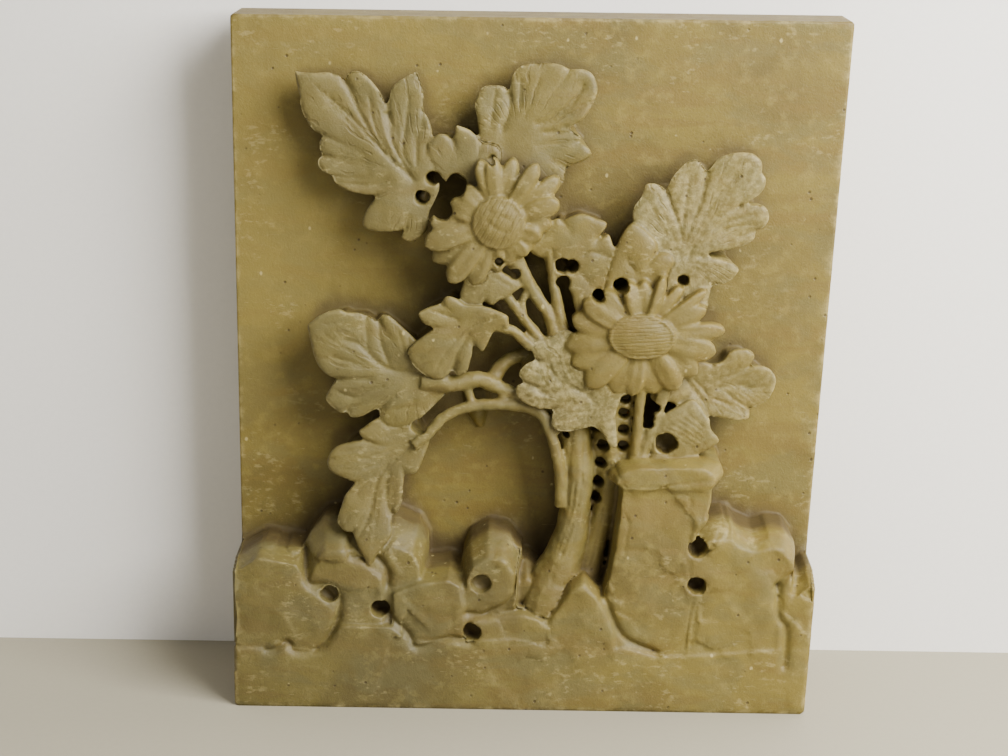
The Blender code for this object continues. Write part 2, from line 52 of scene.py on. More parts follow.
PANEL_FACE = BLOCK_LOW.y + RELIEF_DEPTH * MM
RIGHT_EDGE_LEAN = 5.2
BLOCK_ROUND = 0.9

# Heights above the underside: the foot's top, a level over all the rocks, and where the top face starts
FOOT_TOP = 33.0
ROCK_TOPS = 48.0
TOP_FACE = 144.2

# How finely the stone is cut
FINE = 0.36
VOXEL = FINE * MM
TRIANGLES = 140000

# Longest edge left on the face and rounds of splitting, the size and count of the cells of the map that
# dirt, wear, painted shade and painted highlights are worked out on, and how many places are looked at on
# each ring round a point
LONGEST_EDGE = 2.6
SPLIT_ROUNDS = 7
MAP_STEP = 0.4
MAP_CELLS = (318, 362)
RING_STEPS = 12

# The stone's colours, olive, cream and ochre first, then what lies over them, dirt and painted shade, pale
# wear and painted highlights among them
OLIVE = (0.122, 0.090, 0.020)
CREAM = (0.188, 0.142, 0.027)
OCHRE = (0.161, 0.111, 0.022)
PALE = (0.236, 0.184, 0.045)
HONEY = (0.196, 0.143, 0.030)
ASH = (0.149, 0.124, 0.036)
SHADE = (0.095, 0.068, 0.020)
SCRAPED_AND_SHEEN = (0.475, 0.398, 0.176)
DUST_AND_SHADE = (0.072, 0.049, 0.014)
SOOT_AND_SHADE = (0.045, 0.028, 0.009)

# What the stone's colour is multiplied by as painted shade where it stands out most, towards the left, and
# the paints and air of the studio
RAISED_SHADE_TINT = (0.55, 0.61, 0.96)
FLOOR_PAINT = (0.37, 0.34, 0.255)
WALL_PAINT = (0.93, 0.91, 0.87)
AIR_COLOUR = (1.0, 0.97, 0.92, 1.0)

# How yellow each form is, from 0, grey, to 1, honey
WARMTH = {
    "upper_flower": 0.95, "lower_flower": 0.85, "upper_left_leaf": 0.45, "upper_middle_leaf": 0.35,
    "upper_middle_side_leaf": 0.3, "upper_right_leaf": 0.2, "bud_leaf": 0.8, "middle_leaf": 0.7,
    "flower_stem_leaf": 0.75, "left_lower_leaf": 0.5, "left_upper_leaf": 0.7, "hanging_leaf": 0.8,
    "curled_leaf": 0.15, "right_leaf": 0.25, "pillar_leaf": 0.25, "pillar": 0.5,
}

# The studio: the wall's place behind the block, the lamps, and the light of the room
WALL_PLACE = 0.0200
LAMPS = (
    ("key_light", (0.27, -0.24, 0.31), 0.32, 6.4, (1.0, 0.98, 0.94)),
    ("fill_light", (-0.30, -0.60, 0.50), 0.70, 1.20, (1.0, 0.97, 0.92)),
)
AIR = 0.16

# The photograph's view: image size and focal length in pixels, place in grid units, turns in degrees
PHOTO_SIZE = (1008, 756)
FOCAL_PIXELS = 2034.0
SENSOR = 36.0
CAMERA_PLACE = (-3.7, 182.4, 418.1)
CAMERA_PITCH = 15.16
CAMERA_YAW = -0.43
CAMERA_ROLL = -0.71

# How deep the forms are rooted in the panel, and the places on a curve from one given place to the next
ROOT = 3.0
CURVE_STEPS = 4

# A leaf's rings: share of its outline about the rib, and drop below the blank, or None at the root
LEAF_RINGS = ((0.74, None), (0.78, 5.5), (0.94, 2.0), (1.0, 0.6), (0.99, 0.0))

# Leaves: the walls close in on the rib, and the folds run to the heart. The blank leans by tilt, and lines
# is how many graver's lines go round the heart. Each lobe is a smooth line of places, sharp where the next
# starts.
LEAVES = {
    "upper_left_leaf": {
        "rib": ((-27.0, 114.0), (-33.0, 121.0)), "heart": (-25.0, 113.0),
        "rise": 8.6, "tilt": (0.03, -0.06), "lines": 46,
        "lobes": (
            ((-44.0, 121.6), (-46.5, 123.0), (-48.4, 126.2), (-49.0, 129.8)),
            ((-49.9, 134.4), (-47.0, 134.1), (-42.9, 134.2), (-40.6, 133.4)),
            ((-39.7, 132.6), (-38.8, 134.2), (-36.5, 134.4), (-33.4, 131.7), (-31.3, 127.8)),
            ((-30.9, 126.0), (-30.5, 129.8), (-29.3, 132.3)),
            ((-25.0, 134.8), (-23.7, 130.3)),
            ((-23.8, 126.9), (-22.5, 124.8), (-21.9, 122.1)),
            (
                (-22.7, 119.8), (-21.1, 114.4), (-20.4, 111.0), (-22.5, 106.2), (-22.9, 102.5),
                (-25.9, 100.2), (-28.1, 101.0),
            ),
            (
                (-27.2, 103.0), (-28.6, 102.4), (-30.7, 102.1), (-33.8, 102.1), (-36.0, 103.2),
                (-35.6, 106.0),
            ),
            ((-33.1, 109.6), (-36.1, 109.7), (-40.0, 110.7), (-42.0, 112.3)),
            ((-41.9, 113.1), (-44.8, 114.6), (-45.2, 116.6)),
            ((-44.3, 117.3), (-45.0, 119.8)),
        ),
    },
    "upper_middle_leaf": {
        "rib": ((-6.0, 119.5), (3.0, 128.0)), "heart": (-4.0, 120.5),
        "rise": 7.0, "tilt": (0.0, -0.05), "lines": 40,
        "lobes": (
            ((-12.6, 122.7), (-13.0, 125.9), (-13.4, 128.4), (-12.0, 131.4), (-9.4, 132.0), (-7.3, 131.6)),
            ((-6.3, 129.8), (-6.0, 133.6), (-4.3, 135.8), (-0.5, 136.5), (3.1, 136.5)),
            ((5.8, 135.4), (8.5, 135.4), (10.6, 134.1), (11.4, 130.7), (9.0, 125.9), (6.8, 124.2)),
            ((5.0, 123.8), (7.2, 122.5), (8.3, 121.6)),
            ((7.9, 120.8), (10.4, 118.9), (9.5, 117.3), (6.7, 116.1)),
            ((5.5, 115.5), (4.0, 111.5), (-4.0, 110.0), (-11.5, 112.0), (-12.2, 118.0)),
        ),
    },
    "upper_middle_side_leaf": {
        "rib": ((-14.0, 116.5), (-14.0, 118.0)), "heart": (-14.0, 112.0),
        "rise": 8.6, "tilt": (0.0, 0.0), "lines": 20,
        "lobes": (
            ((-22.8, 120.0), (-22.6, 117.7), (-20.5, 114.1), (-16.0, 110.5)),
            ((-9.0, 111.0), (-8.0, 119.0)),
            ((-11.9, 120.7), (-14.0, 123.0)),
            ((-17.1, 124.2),),
            ((-17.7, 120.9), (-19.4, 122.2), (-21.2, 122.0)),
        ),
    },
    "upper_right_leaf": {
        "rib": ((31.0, 100.0), (37.0, 108.5)), "heart": (30.5, 98.5),
        "rise": 10.4, "tilt": (0.0, -0.05), "lines": 44,
        "lobes": (
            ((20.5, 100.5), (19.1, 105.1), (19.1, 108.0), (20.7, 110.3), (21.4, 112.6), (23.5, 112.9)),
            ((25.5, 111.6), (27.5, 115.1), (29.8, 117.4), (32.0, 117.8)),
            ((33.9, 115.3), (36.2, 118.3), (39.3, 119.4), (42.7, 119.4), (44.8, 117.8)),
            ((45.0, 115.5), (45.9, 113.7), (45.0, 111.4), (42.7, 109.8)),
            ((40.8, 108.6), (43.5, 109.0), (45.8, 108.6), (46.8, 106.4), (45.8, 104.3)),
            ((44.3, 103.7), (43.5, 101.4), (39.8, 99.8), (36.4, 99.3)),
            ((33.1, 98.3), (36.0, 97.9), (39.1, 97.1), (41.0, 95.4), (38.9, 93.0)),
            ((35.7, 92.2), (35.2, 90.5), (34.0, 86.5), (27.0, 88.0), (21.0, 93.0)),
        ),
    },
    "bud_leaf": {
        "rib": ((20.5, 94.5), (20.5, 98.5)), "heart": (20.5, 94.0),
        "rise": 11.4, "tilt": (0.0, -0.05), "lines": 0,
        "lobes": (
            ((15.6, 99.3), (16.8, 102.5), (18.8, 104.9), (21.5, 103.7), (23.7, 101.2)),
            (
                (24.3, 99.0), (26.8, 98.5), (27.7, 97.0), (26.5, 94.7), (25.0, 88.5), (17.0, 88.0),
                (13.6, 91.0),
            ),
        ),
    },
    "middle_leaf": {
        "rib": ((10.5, 98.0), (8.0, 101.5)), "heart": (10.5, 98.0),
        "rise": 10.6, "tilt": (0.02, -0.03), "lines": 0,
        "lobes": (
            (
                (-2.3, 99.0), (-0.3, 97.7), (2.0, 96.8), (4.0, 93.0), (6.6, 90.6), (8.2, 86.3),
                (13.6, 88.8), (18.0, 90.5),
            ),
            ((15.6, 99.3), (14.6, 101.8)),
            ((14.3, 102.7), (12.9, 101.8)),
            ((11.9, 101.6), (13.9, 104.7), (11.3, 105.8), (8.8, 106.6), (6.7, 106.1)),
            ((4.8, 105.1), (3.2, 105.5), (1.8, 103.7), (0.3, 101.8), (-2.4, 100.2)),
        ),
    },
    "flower_stem_leaf": {
        "rib": ((-12.0, 91.0), (-8.5, 91.5)), "heart": (-9.5, 93.5),
        "rise": 11.6, "tilt": (-0.04, 0.0), "lines": 16,
        "lobes": (
            ((-15.0, 94.5), (-15.5, 91.9), (-16.0, 89.5), (-14.8, 87.9), (-12.5, 87.6)),
            ((-10.9, 88.4), (-9.4, 87.6), (-7.5, 88.9), (-4.7, 90.5)),
            ((-3.1, 91.7), (-5.5, 93.5), (-9.0, 95.5), (-10.5, 96.6)),
        ),
    },
    "left_lower_leaf": {
        "rib": ((-25.5, 71.8), (-36.5, 77.3)), "heart": (-25.0, 73.0),
        "rise": 11.4, "tilt": (0.01, -0.02), "lines": 30,
        "lobes": (
            ((-47.5, 82.7), (-47.0, 79.6), (-45.8, 75.0), (-43.9, 72.5)),
            ((-41.2, 71.2), (-42.8, 69.4), (-43.8, 66.9), (-41.9, 64.8), (-40.6, 64.0)),
            ((-39.3, 64.5), (-38.5, 63.1), (-36.2, 63.4), (-34.2, 64.6)),
            (
                (-32.6, 65.2), (-32.3, 62.5), (-30.6, 61.2), (-27.3, 61.3), (-23.8, 63.5), (-20.8, 66.5),
                (-18.5, 68.7),
            ),
            ((-17.0, 69.0), (-16.8, 71.5), (-21.5, 76.5), (-27.9, 82.7), (-31.3, 85.2)),
            ((-33.0, 83.8), (-35.6, 85.3), (-38.5, 85.5)),
            ((-39.6, 85.6), (-41.1, 86.2), (-44.6, 85.0)),
        ),
    },
    "left_upper_leaf": {
        "rib": ((-15.0, 82.3), (-19.5, 78.5)), "heart": (-13.5, 83.0),
        "rise": 13.4, "tilt": (0.03, 0.0), "lines": 22,
        "lobes": (
            ((-24.5, 86.2), (-22.5, 87.3)),
            ((-19.8, 88.1), (-18.8, 89.7), (-16.7, 89.3), (-14.8, 88.0), (-11.0, 87.8), (-7.3, 86.5)),
            (
                (-6.0, 85.8), (-6.0, 83.8), (-7.7, 83.7), (-9.3, 82.0), (-10.3, 79.7), (-11.3, 78.2),
                (-12.3, 79.0),
            ),
            ((-13.2, 80.0), (-13.4, 77.7), (-14.3, 74.0), (-15.3, 73.2), (-16.5, 73.0)),
            (
                (-17.2, 74.3), (-18.7, 72.8), (-20.7, 72.0), (-24.3, 73.7), (-26.7, 77.2), (-25.7, 79.3),
                (-22.8, 81.7),
            ),
            ((-20.9, 83.1), (-23.0, 83.8), (-24.3, 85.3)),
        ),
    },
    "hanging_leaf": {
        "rib": ((-28.5, 57.5), (-34.0, 41.5)), "heart": (-28.5, 56.0),
        "rise": 12.2, "tilt": (0.0, -0.14), "lines": 24,
        "lobes": (
            ((-37.1, 60.3), (-36.5, 59.2)),
            ((-35.7, 58.4), (-38.9, 57.8), (-42.0, 56.7), (-43.6, 54.0), (-42.6, 51.6), (-40.3, 50.4)),
            ((-37.4, 49.6), (-39.6, 46.9), (-40.8, 43.6), (-41.4, 41.1), (-39.8, 39.1)),
            ((-38.2, 39.1), (-37.1, 36.1)),
            ((-34.5, 31.9), (-32.3, 35.5), (-29.9, 38.3), (-30.0, 41.0)),
            ((-30.0, 43.0), (-29.0, 43.0), (-27.7, 46.0), (-27.6, 49.0)),
            (
                (-27.4, 51.3), (-24.9, 51.7), (-23.4, 54.8), (-22.2, 58.3), (-23.1, 60.4), (-24.5, 63.0),
                (-28.0, 64.0), (-32.6, 63.2),
            ),
        ),
    },
    "curled_leaf": {
        "rib": ((7.5, 72.0), (7.0, 67.5)), "heart": (11.0, 67.5),
        "rise": 13.2, "tilt": (0.02, -0.06), "lines": 30,
        "lobes": (
            ((-1.8, 80.0), (-1.2, 78.4)),
            ((-0.2, 76.4), (-2.3, 75.3), (-3.7, 73.5), (-3.2, 72.2)),
            ((-2.3, 71.3), (-4.2, 70.8), (-4.2, 69.2), (-2.6, 67.3), (0.5, 66.1)),
            ((3.7, 65.9), (3.2, 63.0), (4.0, 61.7), (6.7, 61.3), (9.7, 62.0), (12.0, 62.5), (14.0, 60.8)),
            (
                (15.6, 58.3), (17.0, 58.5), (16.6, 66.0), (19.0, 71.0), (13.0, 76.0), (7.0, 82.5),
                (2.5, 81.0),
            ),
        ),
    },
    "right_leaf": {
        "rib": ((35.5, 70.5), (39.5, 70.5)), "heart": (33.5, 73.0),
        "rise": 10.0, "tilt": (-0.06, 0.0), "lines": 34,
        "lobes": (
            ((36.5, 75.2), (38.6, 75.9), (40.2, 78.1), (43.4, 78.6), (45.2, 77.2)),
            ((44.3, 74.8), (46.8, 74.9), (48.8, 74.0), (50.0, 71.8), (49.2, 68.9), (47.4, 66.8)),
            ((44.6, 65.7), (44.5, 63.6), (42.6, 63.1), (38.0, 63.8)),
            ((36.1, 64.2), (34.8, 66.1), (32.4, 67.4), (31.3, 67.8)),
            (
                (30.2, 67.4), (29.6, 66.5), (27.6, 67.2), (24.2, 67.4), (24.0, 69.5), (27.5, 73.5),
                (31.5, 76.5),
            ),
        ),
    },
    "pillar_leaf": {
        "rib": ((29.5, 61.5), (32.0, 62.5)), "heart": (29.0, 65.0),
        "rise": 11.8, "tilt": (0.0, 0.0), "lines": 0,
        "lobes": (
            (
                (36.1, 64.0), (36.6, 61.6), (38.3, 59.4), (36.8, 57.8), (34.5, 56.5), (31.0, 54.5),
                (26.0, 54.0),
            ),
            ((24.0, 56.5), (25.0, 61.5), (26.8, 64.7), (29.5, 66.6), (33.0, 68.0)),
        ),
    },
}

# Flowers: the middle disc, and each petal's bearing in degrees, reach and width
FLOWERS = {
    "upper_flower": {
        "centre": (-8.2, 105.1), "disc": (5.4, 5.3), "rise": 13.6, "hatch": 62.0, "pitch": 1.0,
        "petals": (
            (110, 13.1, 2.8), (97, 13.2, 2.8), (78, 13.2, 3.0), (56, 14.2, 3.0), (35, 15.1, 3.4),
            (19, 12.9, 3.7), (359, 10.6, 3.4), (342, 9.2, 3.0), (325, 8.9, 2.8), (307, 8.8, 2.9),
            (287, 9.3, 3.2), (265, 10.4, 3.0), (246, 14.0, 3.8), (229, 15.9, 4.0), (213, 15.8, 3.8),
            (197, 15.7, 4.1), (181, 13.9, 4.0), (163, 10.6, 3.8), (139, 10.1, 3.8),
        ),
    },
    "lower_flower": {
        "centre": (21.3, 82.1), "disc": (6.9, 4.7), "rise": 14.6, "hatch": 4.0, "pitch": 0.72,
        "petals": (
            (5, 17.2, 3.2), (345, 15.8, 4.4), (327, 14.2, 4.2), (306, 13.9, 4.0), (282, 12.9, 4.2),
            (264, 12.8, 3.4), (244, 13.4, 4.4), (223, 15.4, 4.5), (205, 15.4, 4.5), (187, 15.6, 4.0),
            (169, 14.6, 4.0), (152, 13.8, 3.7), (133, 11.9, 3.1), (106, 11.3, 2.9), (86, 11.4, 2.6),
            (69, 13.2, 2.0), (53, 13.5, 2.1), (35, 16.0, 2.0), (23, 14.3, 3.0),
        ),
    },
}
PETAL_ROOT = 4.0
PETAL_THICKNESS = 3.4
PETAL_STATIONS = 16
PETAL_STEPS = 12

# A disc's rings: share of its width, and lift above the flower's rise
DISC_RINGS = (
    (1.0, -2.0), (1.0, 0.15), (0.97, 0.55), (0.92, 0.70),
    (0.87, 0.45), (0.80, 0.70), (0.60, 1.15), (0.30, 1.30),
)

STEMS = {
    "front_trunk": (
        (2.6, 16.0, 9.0, 7.0), (3.6, 24.0, 9.0, 6.2), (6.0, 31.5, 9.2, 4.4), (8.2, 40.0, 9.2, 3.4),
        (9.2, 50.0, 9.0, 3.2), (8.6, 57.0, 8.4, 3.2), (8.0, 66.0, 7.4, 3.2),
    ),
    "back_trunk": (
        (10.0, 22.0, 6.6, 4.4), (12.2, 33.0, 7.2, 3.0), (14.6, 42.0, 7.8, 2.4), (16.0, 52.0, 8.4, 2.2),
        (16.3, 62.0, 9.0, 1.7), (16.2, 72.0, 10.0, 1.6),
    ),
    "trunk_edge": (
        (5.6, 44.0, 10.6, 1.3), (5.2, 52.0, 11.0, 1.3), (3.6, 59.0, 11.2, 1.2), (1.2, 64.6, 10.8, 1.1),
    ),
    "arched_branch": (
        (5.0, 60.5, 10.5, 1.3), (1.2, 64.4, 10.5, 1.3), (-3.5, 66.0, 10.4, 1.2), (-9.5, 66.2, 10.4, 1.2),
        (-15.0, 65.4, 10.6, 1.2), (-19.3, 63.4, 11.0, 1.1), (-22.4, 60.0, 11.6, 1.2),
        (-25.5, 57.5, 12.0, 1.3),
    ),
    "upper_branch": (
        (-24.0, 71.0, 10.6, 2.0), (-18.0, 70.6, 10.8, 1.8), (-12.0, 71.4, 9.8, 1.8), (-7.0, 69.2, 9.2, 1.6),
        (-1.0, 66.8, 9.8, 1.4),
    ),
    "branch_link_outer": ((-14.6, 70.6, 10.0, 1.0), (-13.2, 65.4, 10.2, 0.9)),
    "branch_link_inner": ((-8.4, 71.0, 9.6, 1.1), (-6.2, 66.2, 10.0, 1.0)),
    "branch_knot": ((-9.5, 70.5, 8.0, 1.9), (-6.5, 74.5, 6.8, 1.5), (-1.5, 76.5, 6.0, 1.5)),
    "left_leaf_stem": ((-9.0, 83.6, 12.4, 1.2), (-5.2, 82.4, 11.8, 1.1), (-1.0, 79.0, 11.6, 1.2)),
    "fork_stem": ((1.5, 79.0, 10.6, 1.4), (-2.6, 84.4, 10.4, 1.1), (-6.8, 89.9, 10.2, 1.1)),
    "fork_twig": ((-2.8, 84.8, 10.2, 0.8), (-3.2, 88.2, 10.2, 0.8), (-1.8, 91.4, 10.4, 0.8)),
    "flower_stem": (
        (4.4, 79.0, 10.4, 1.8), (2.2, 85.5, 10.2, 1.3), (-1.2, 90.6, 9.8, 1.5), (-5.2, 97.5, 10.4, 1.9),
    ),
    "middle_leaf_stem": (
        (5.6, 80.0, 10.2, 1.6), (4.2, 87.0, 10.0, 1.2), (3.0, 93.0, 9.6, 1.1), (2.2, 99.0, 9.4, 1.3),
    ),
    "lower_flower_stem": ((20.8, 54.5, 10.6, 1.3), (21.2, 62.0, 11.2, 1.1), (21.8, 73.0, 12.0, 1.2)),
    "right_leaf_stem": ((22.0, 55.0, 10.6, 1.3), (24.2, 62.0, 11.0, 1.2), (27.0, 71.5, 11.0, 1.4)),
    "trunk_web": ((13.6, 43.0, 5.6, 2.4), (14.2, 50.0, 6.2, 2.6), (14.6, 60.0, 6.8, 2.6)),
    "flower_web": ((18.6, 53.0, 7.4, 2.4), (18.5, 62.0, 8.2, 2.3), (18.6, 71.0, 8.8, 2.3)),
    "panel_thorn": ((-12.6, 66.0, -1.0, 3.2), (-12.4, 62.5, 0.6, 2.2), (-11.8, 58.6, 0.6, 0.6)),
    "tangled_root": ((-1.5, 72.0, 7.0, 2.4), (2.5, 78.0, 8.0, 2.6), (6.5, 82.0, 8.8, 2.6)),
}
STEM_SIDES = 16

ROCKS = {
    "far_left_rock": {
        "corners": (
            (-70.0, 8.0), (-70.0, 31.0), (-62.6, 32.6), (-58.0, 35.2), (-54.0, 34.6), (-49.0, 33.6),
            (-46.4, 27.6), (-40.2, 22.0), (-43.5, 12.0), (-44.0, 8.0),
        ),
        "foot": (-56.0, 14.0), "shoulder": 10.5, "face": 16.1, "bevel": 0.08,
    },
    "left_peak_rock": {
        "corners": (
            (-48.6, 8.0), (-49.4, 33.4), (-47.6, 37.0), (-44.6, 40.4), (-40.4, 41.0), (-36.0, 38.6),
            (-30.0, 33.0), (-29.8, 8.0),
        ),
        "foot": (-39.5, 10.0), "shoulder": 9.0, "face": 15.7, "bevel": 0.19,
    },
    "left_crag_rock": {
        "corners": (
            (-36.0, 10.0), (-36.0, 39.0), (-29.6, 41.0), (-24.4, 38.9), (-22.4, 35.0), (-23.0, 10.0),
        ),
        "foot": (-31.0, 12.0), "shoulder": 8.0, "face": 14.8, "bevel": 0.17,
    },
    "left_low_rock": {
        "corners": (
            (-30.8, 8.0), (-30.2, 27.0), (-24.8, 29.4), (-17.8, 30.6), (-14.6, 29.0), (-13.4, 22.0),
            (-14.6, 8.0),
        ),
        "foot": (-22.0, 12.0), "shoulder": 11.5, "face": 16.2, "bevel": 0.08,
    },
    "round_rock": {
        "corners": (
            (-16.2, 12.0), (-15.4, 31.6), (-13.6, 35.6), (-9.6, 38.2), (-5.6, 37.4), (-2.4, 33.4),
            (-2.4, 27.0), (-3.0, 12.0),
        ),
        "foot": (-9.0, 14.0), "shoulder": 8.8, "face": 15.7, "bevel": 0.17,
    },
    "rubble": {
        "corners": ((-4.6, 10.0), (-4.6, 29.6), (-1.6, 31.6), (1.4, 29.6), (2.4, 25.0), (3.0, 10.0)),
        "foot": (-1.0, 16.0), "shoulder": 8.0, "face": 12.6, "bevel": 0.2,
    },
    "trunk_foot_rock": {
        "corners": (
            (1.6, 8.0), (3.0, 21.8), (7.6, 28.4), (10.6, 30.0), (13.8, 27.0), (17.4, 21.0), (19.0, 8.0),
        ),
        "foot": (10.5, 10.0), "shoulder": 13.4, "face": 16.6, "bevel": 0.08,
    },
    "ledge_rock": {
        "corners": ((-14.8, 6.0), (-13.6, 20.6), (-8.0, 23.0), (-2.0, 22.6), (3.8, 21.0), (4.2, 6.0)),
        "foot": (-5.0, 10.0), "shoulder": 14.0, "face": 16.3, "bevel": 0.08,
    },
    "pillar": {
        "corners": (
            (14.0, 8.0), (14.4, 26.0), (16.0, 33.0), (17.2, 43.0), (17.4, 53.0), (37.2, 53.0), (37.2, 46.6),
            (36.4, 43.4), (34.2, 40.0), (34.2, 8.0),
        ),
        "foot": (26.5, 30.0), "shoulder": 12.4, "face": 16.1, "bevel": 0.05,
    },
    "pillar_cap": {
        "corners": (
            (14.8, 51.0), (15.2, 53.0), (17.6, 54.8), (21.4, 55.6), (35.8, 55.8), (38.6, 54.6),
            (39.4, 52.6),
            (38.6, 50.6), (36.6, 49.4), (17.0, 49.2),
        ),
        "foot": (27.0, 50.0), "shoulder": 12.8, "face": 16.6, "bevel": 0.16,
    },
    "right_rock": {
        "corners": (
            (31.0, 8.0), (32.0, 40.0), (37.0, 41.4), (41.6, 42.0), (42.6, 40.4), (46.4, 38.6), (49.6, 39.8),
            (53.0, 39.4), (55.6, 36.4), (55.8, 32.0), (54.5, 8.0),
        ),
        "foot": (44.0, 12.0), "shoulder": 11.0, "face": 16.3, "bevel": 0.09,
    },
    "right_end_rock": {
        "corners": ((50.6, 6.0), (51.0, 26.4), (54.8, 28.6), (58.0, 31.6), (66.0, 31.6), (66.0, 6.0)),
        "foot": (56.0, 8.0), "shoulder": 10.0, "face": 16.5, "bevel": 0.10,
    },
    "ground": {
        "corners": (
            (-72.0, -4.0), (-72.0, 13.2), (-57.6, 13.2), (-55.2, 15.0), (-51.2, 13.2), (-46.0, 12.6),
            (-41.0, 18.8), (-30.4, 18.8), (-26.0, 15.2), (-15.0, 15.6), (-4.0, 16.4), (3.2, 14.6),
            (8.0, 12.3), (20.0, 14.6), (27.4, 12.7), (40.0, 13.6), (54.0, 15.0), (72.0, 13.6), (72.0, -4.0),
        ),
        "foot": (0.0, 0.0), "shoulder": 15.9, "face": 17.3, "bevel": 0.02,
    },
}

# The knife's cuts: half width and depth of each kind
CUTS = {
    "fold": (0.60, 0.34), "vein": (0.36, 0.28), "line": (0.27, 0.17), "trim": (0.36, 0.22),
    "seam": (1.25, 1.05),
}

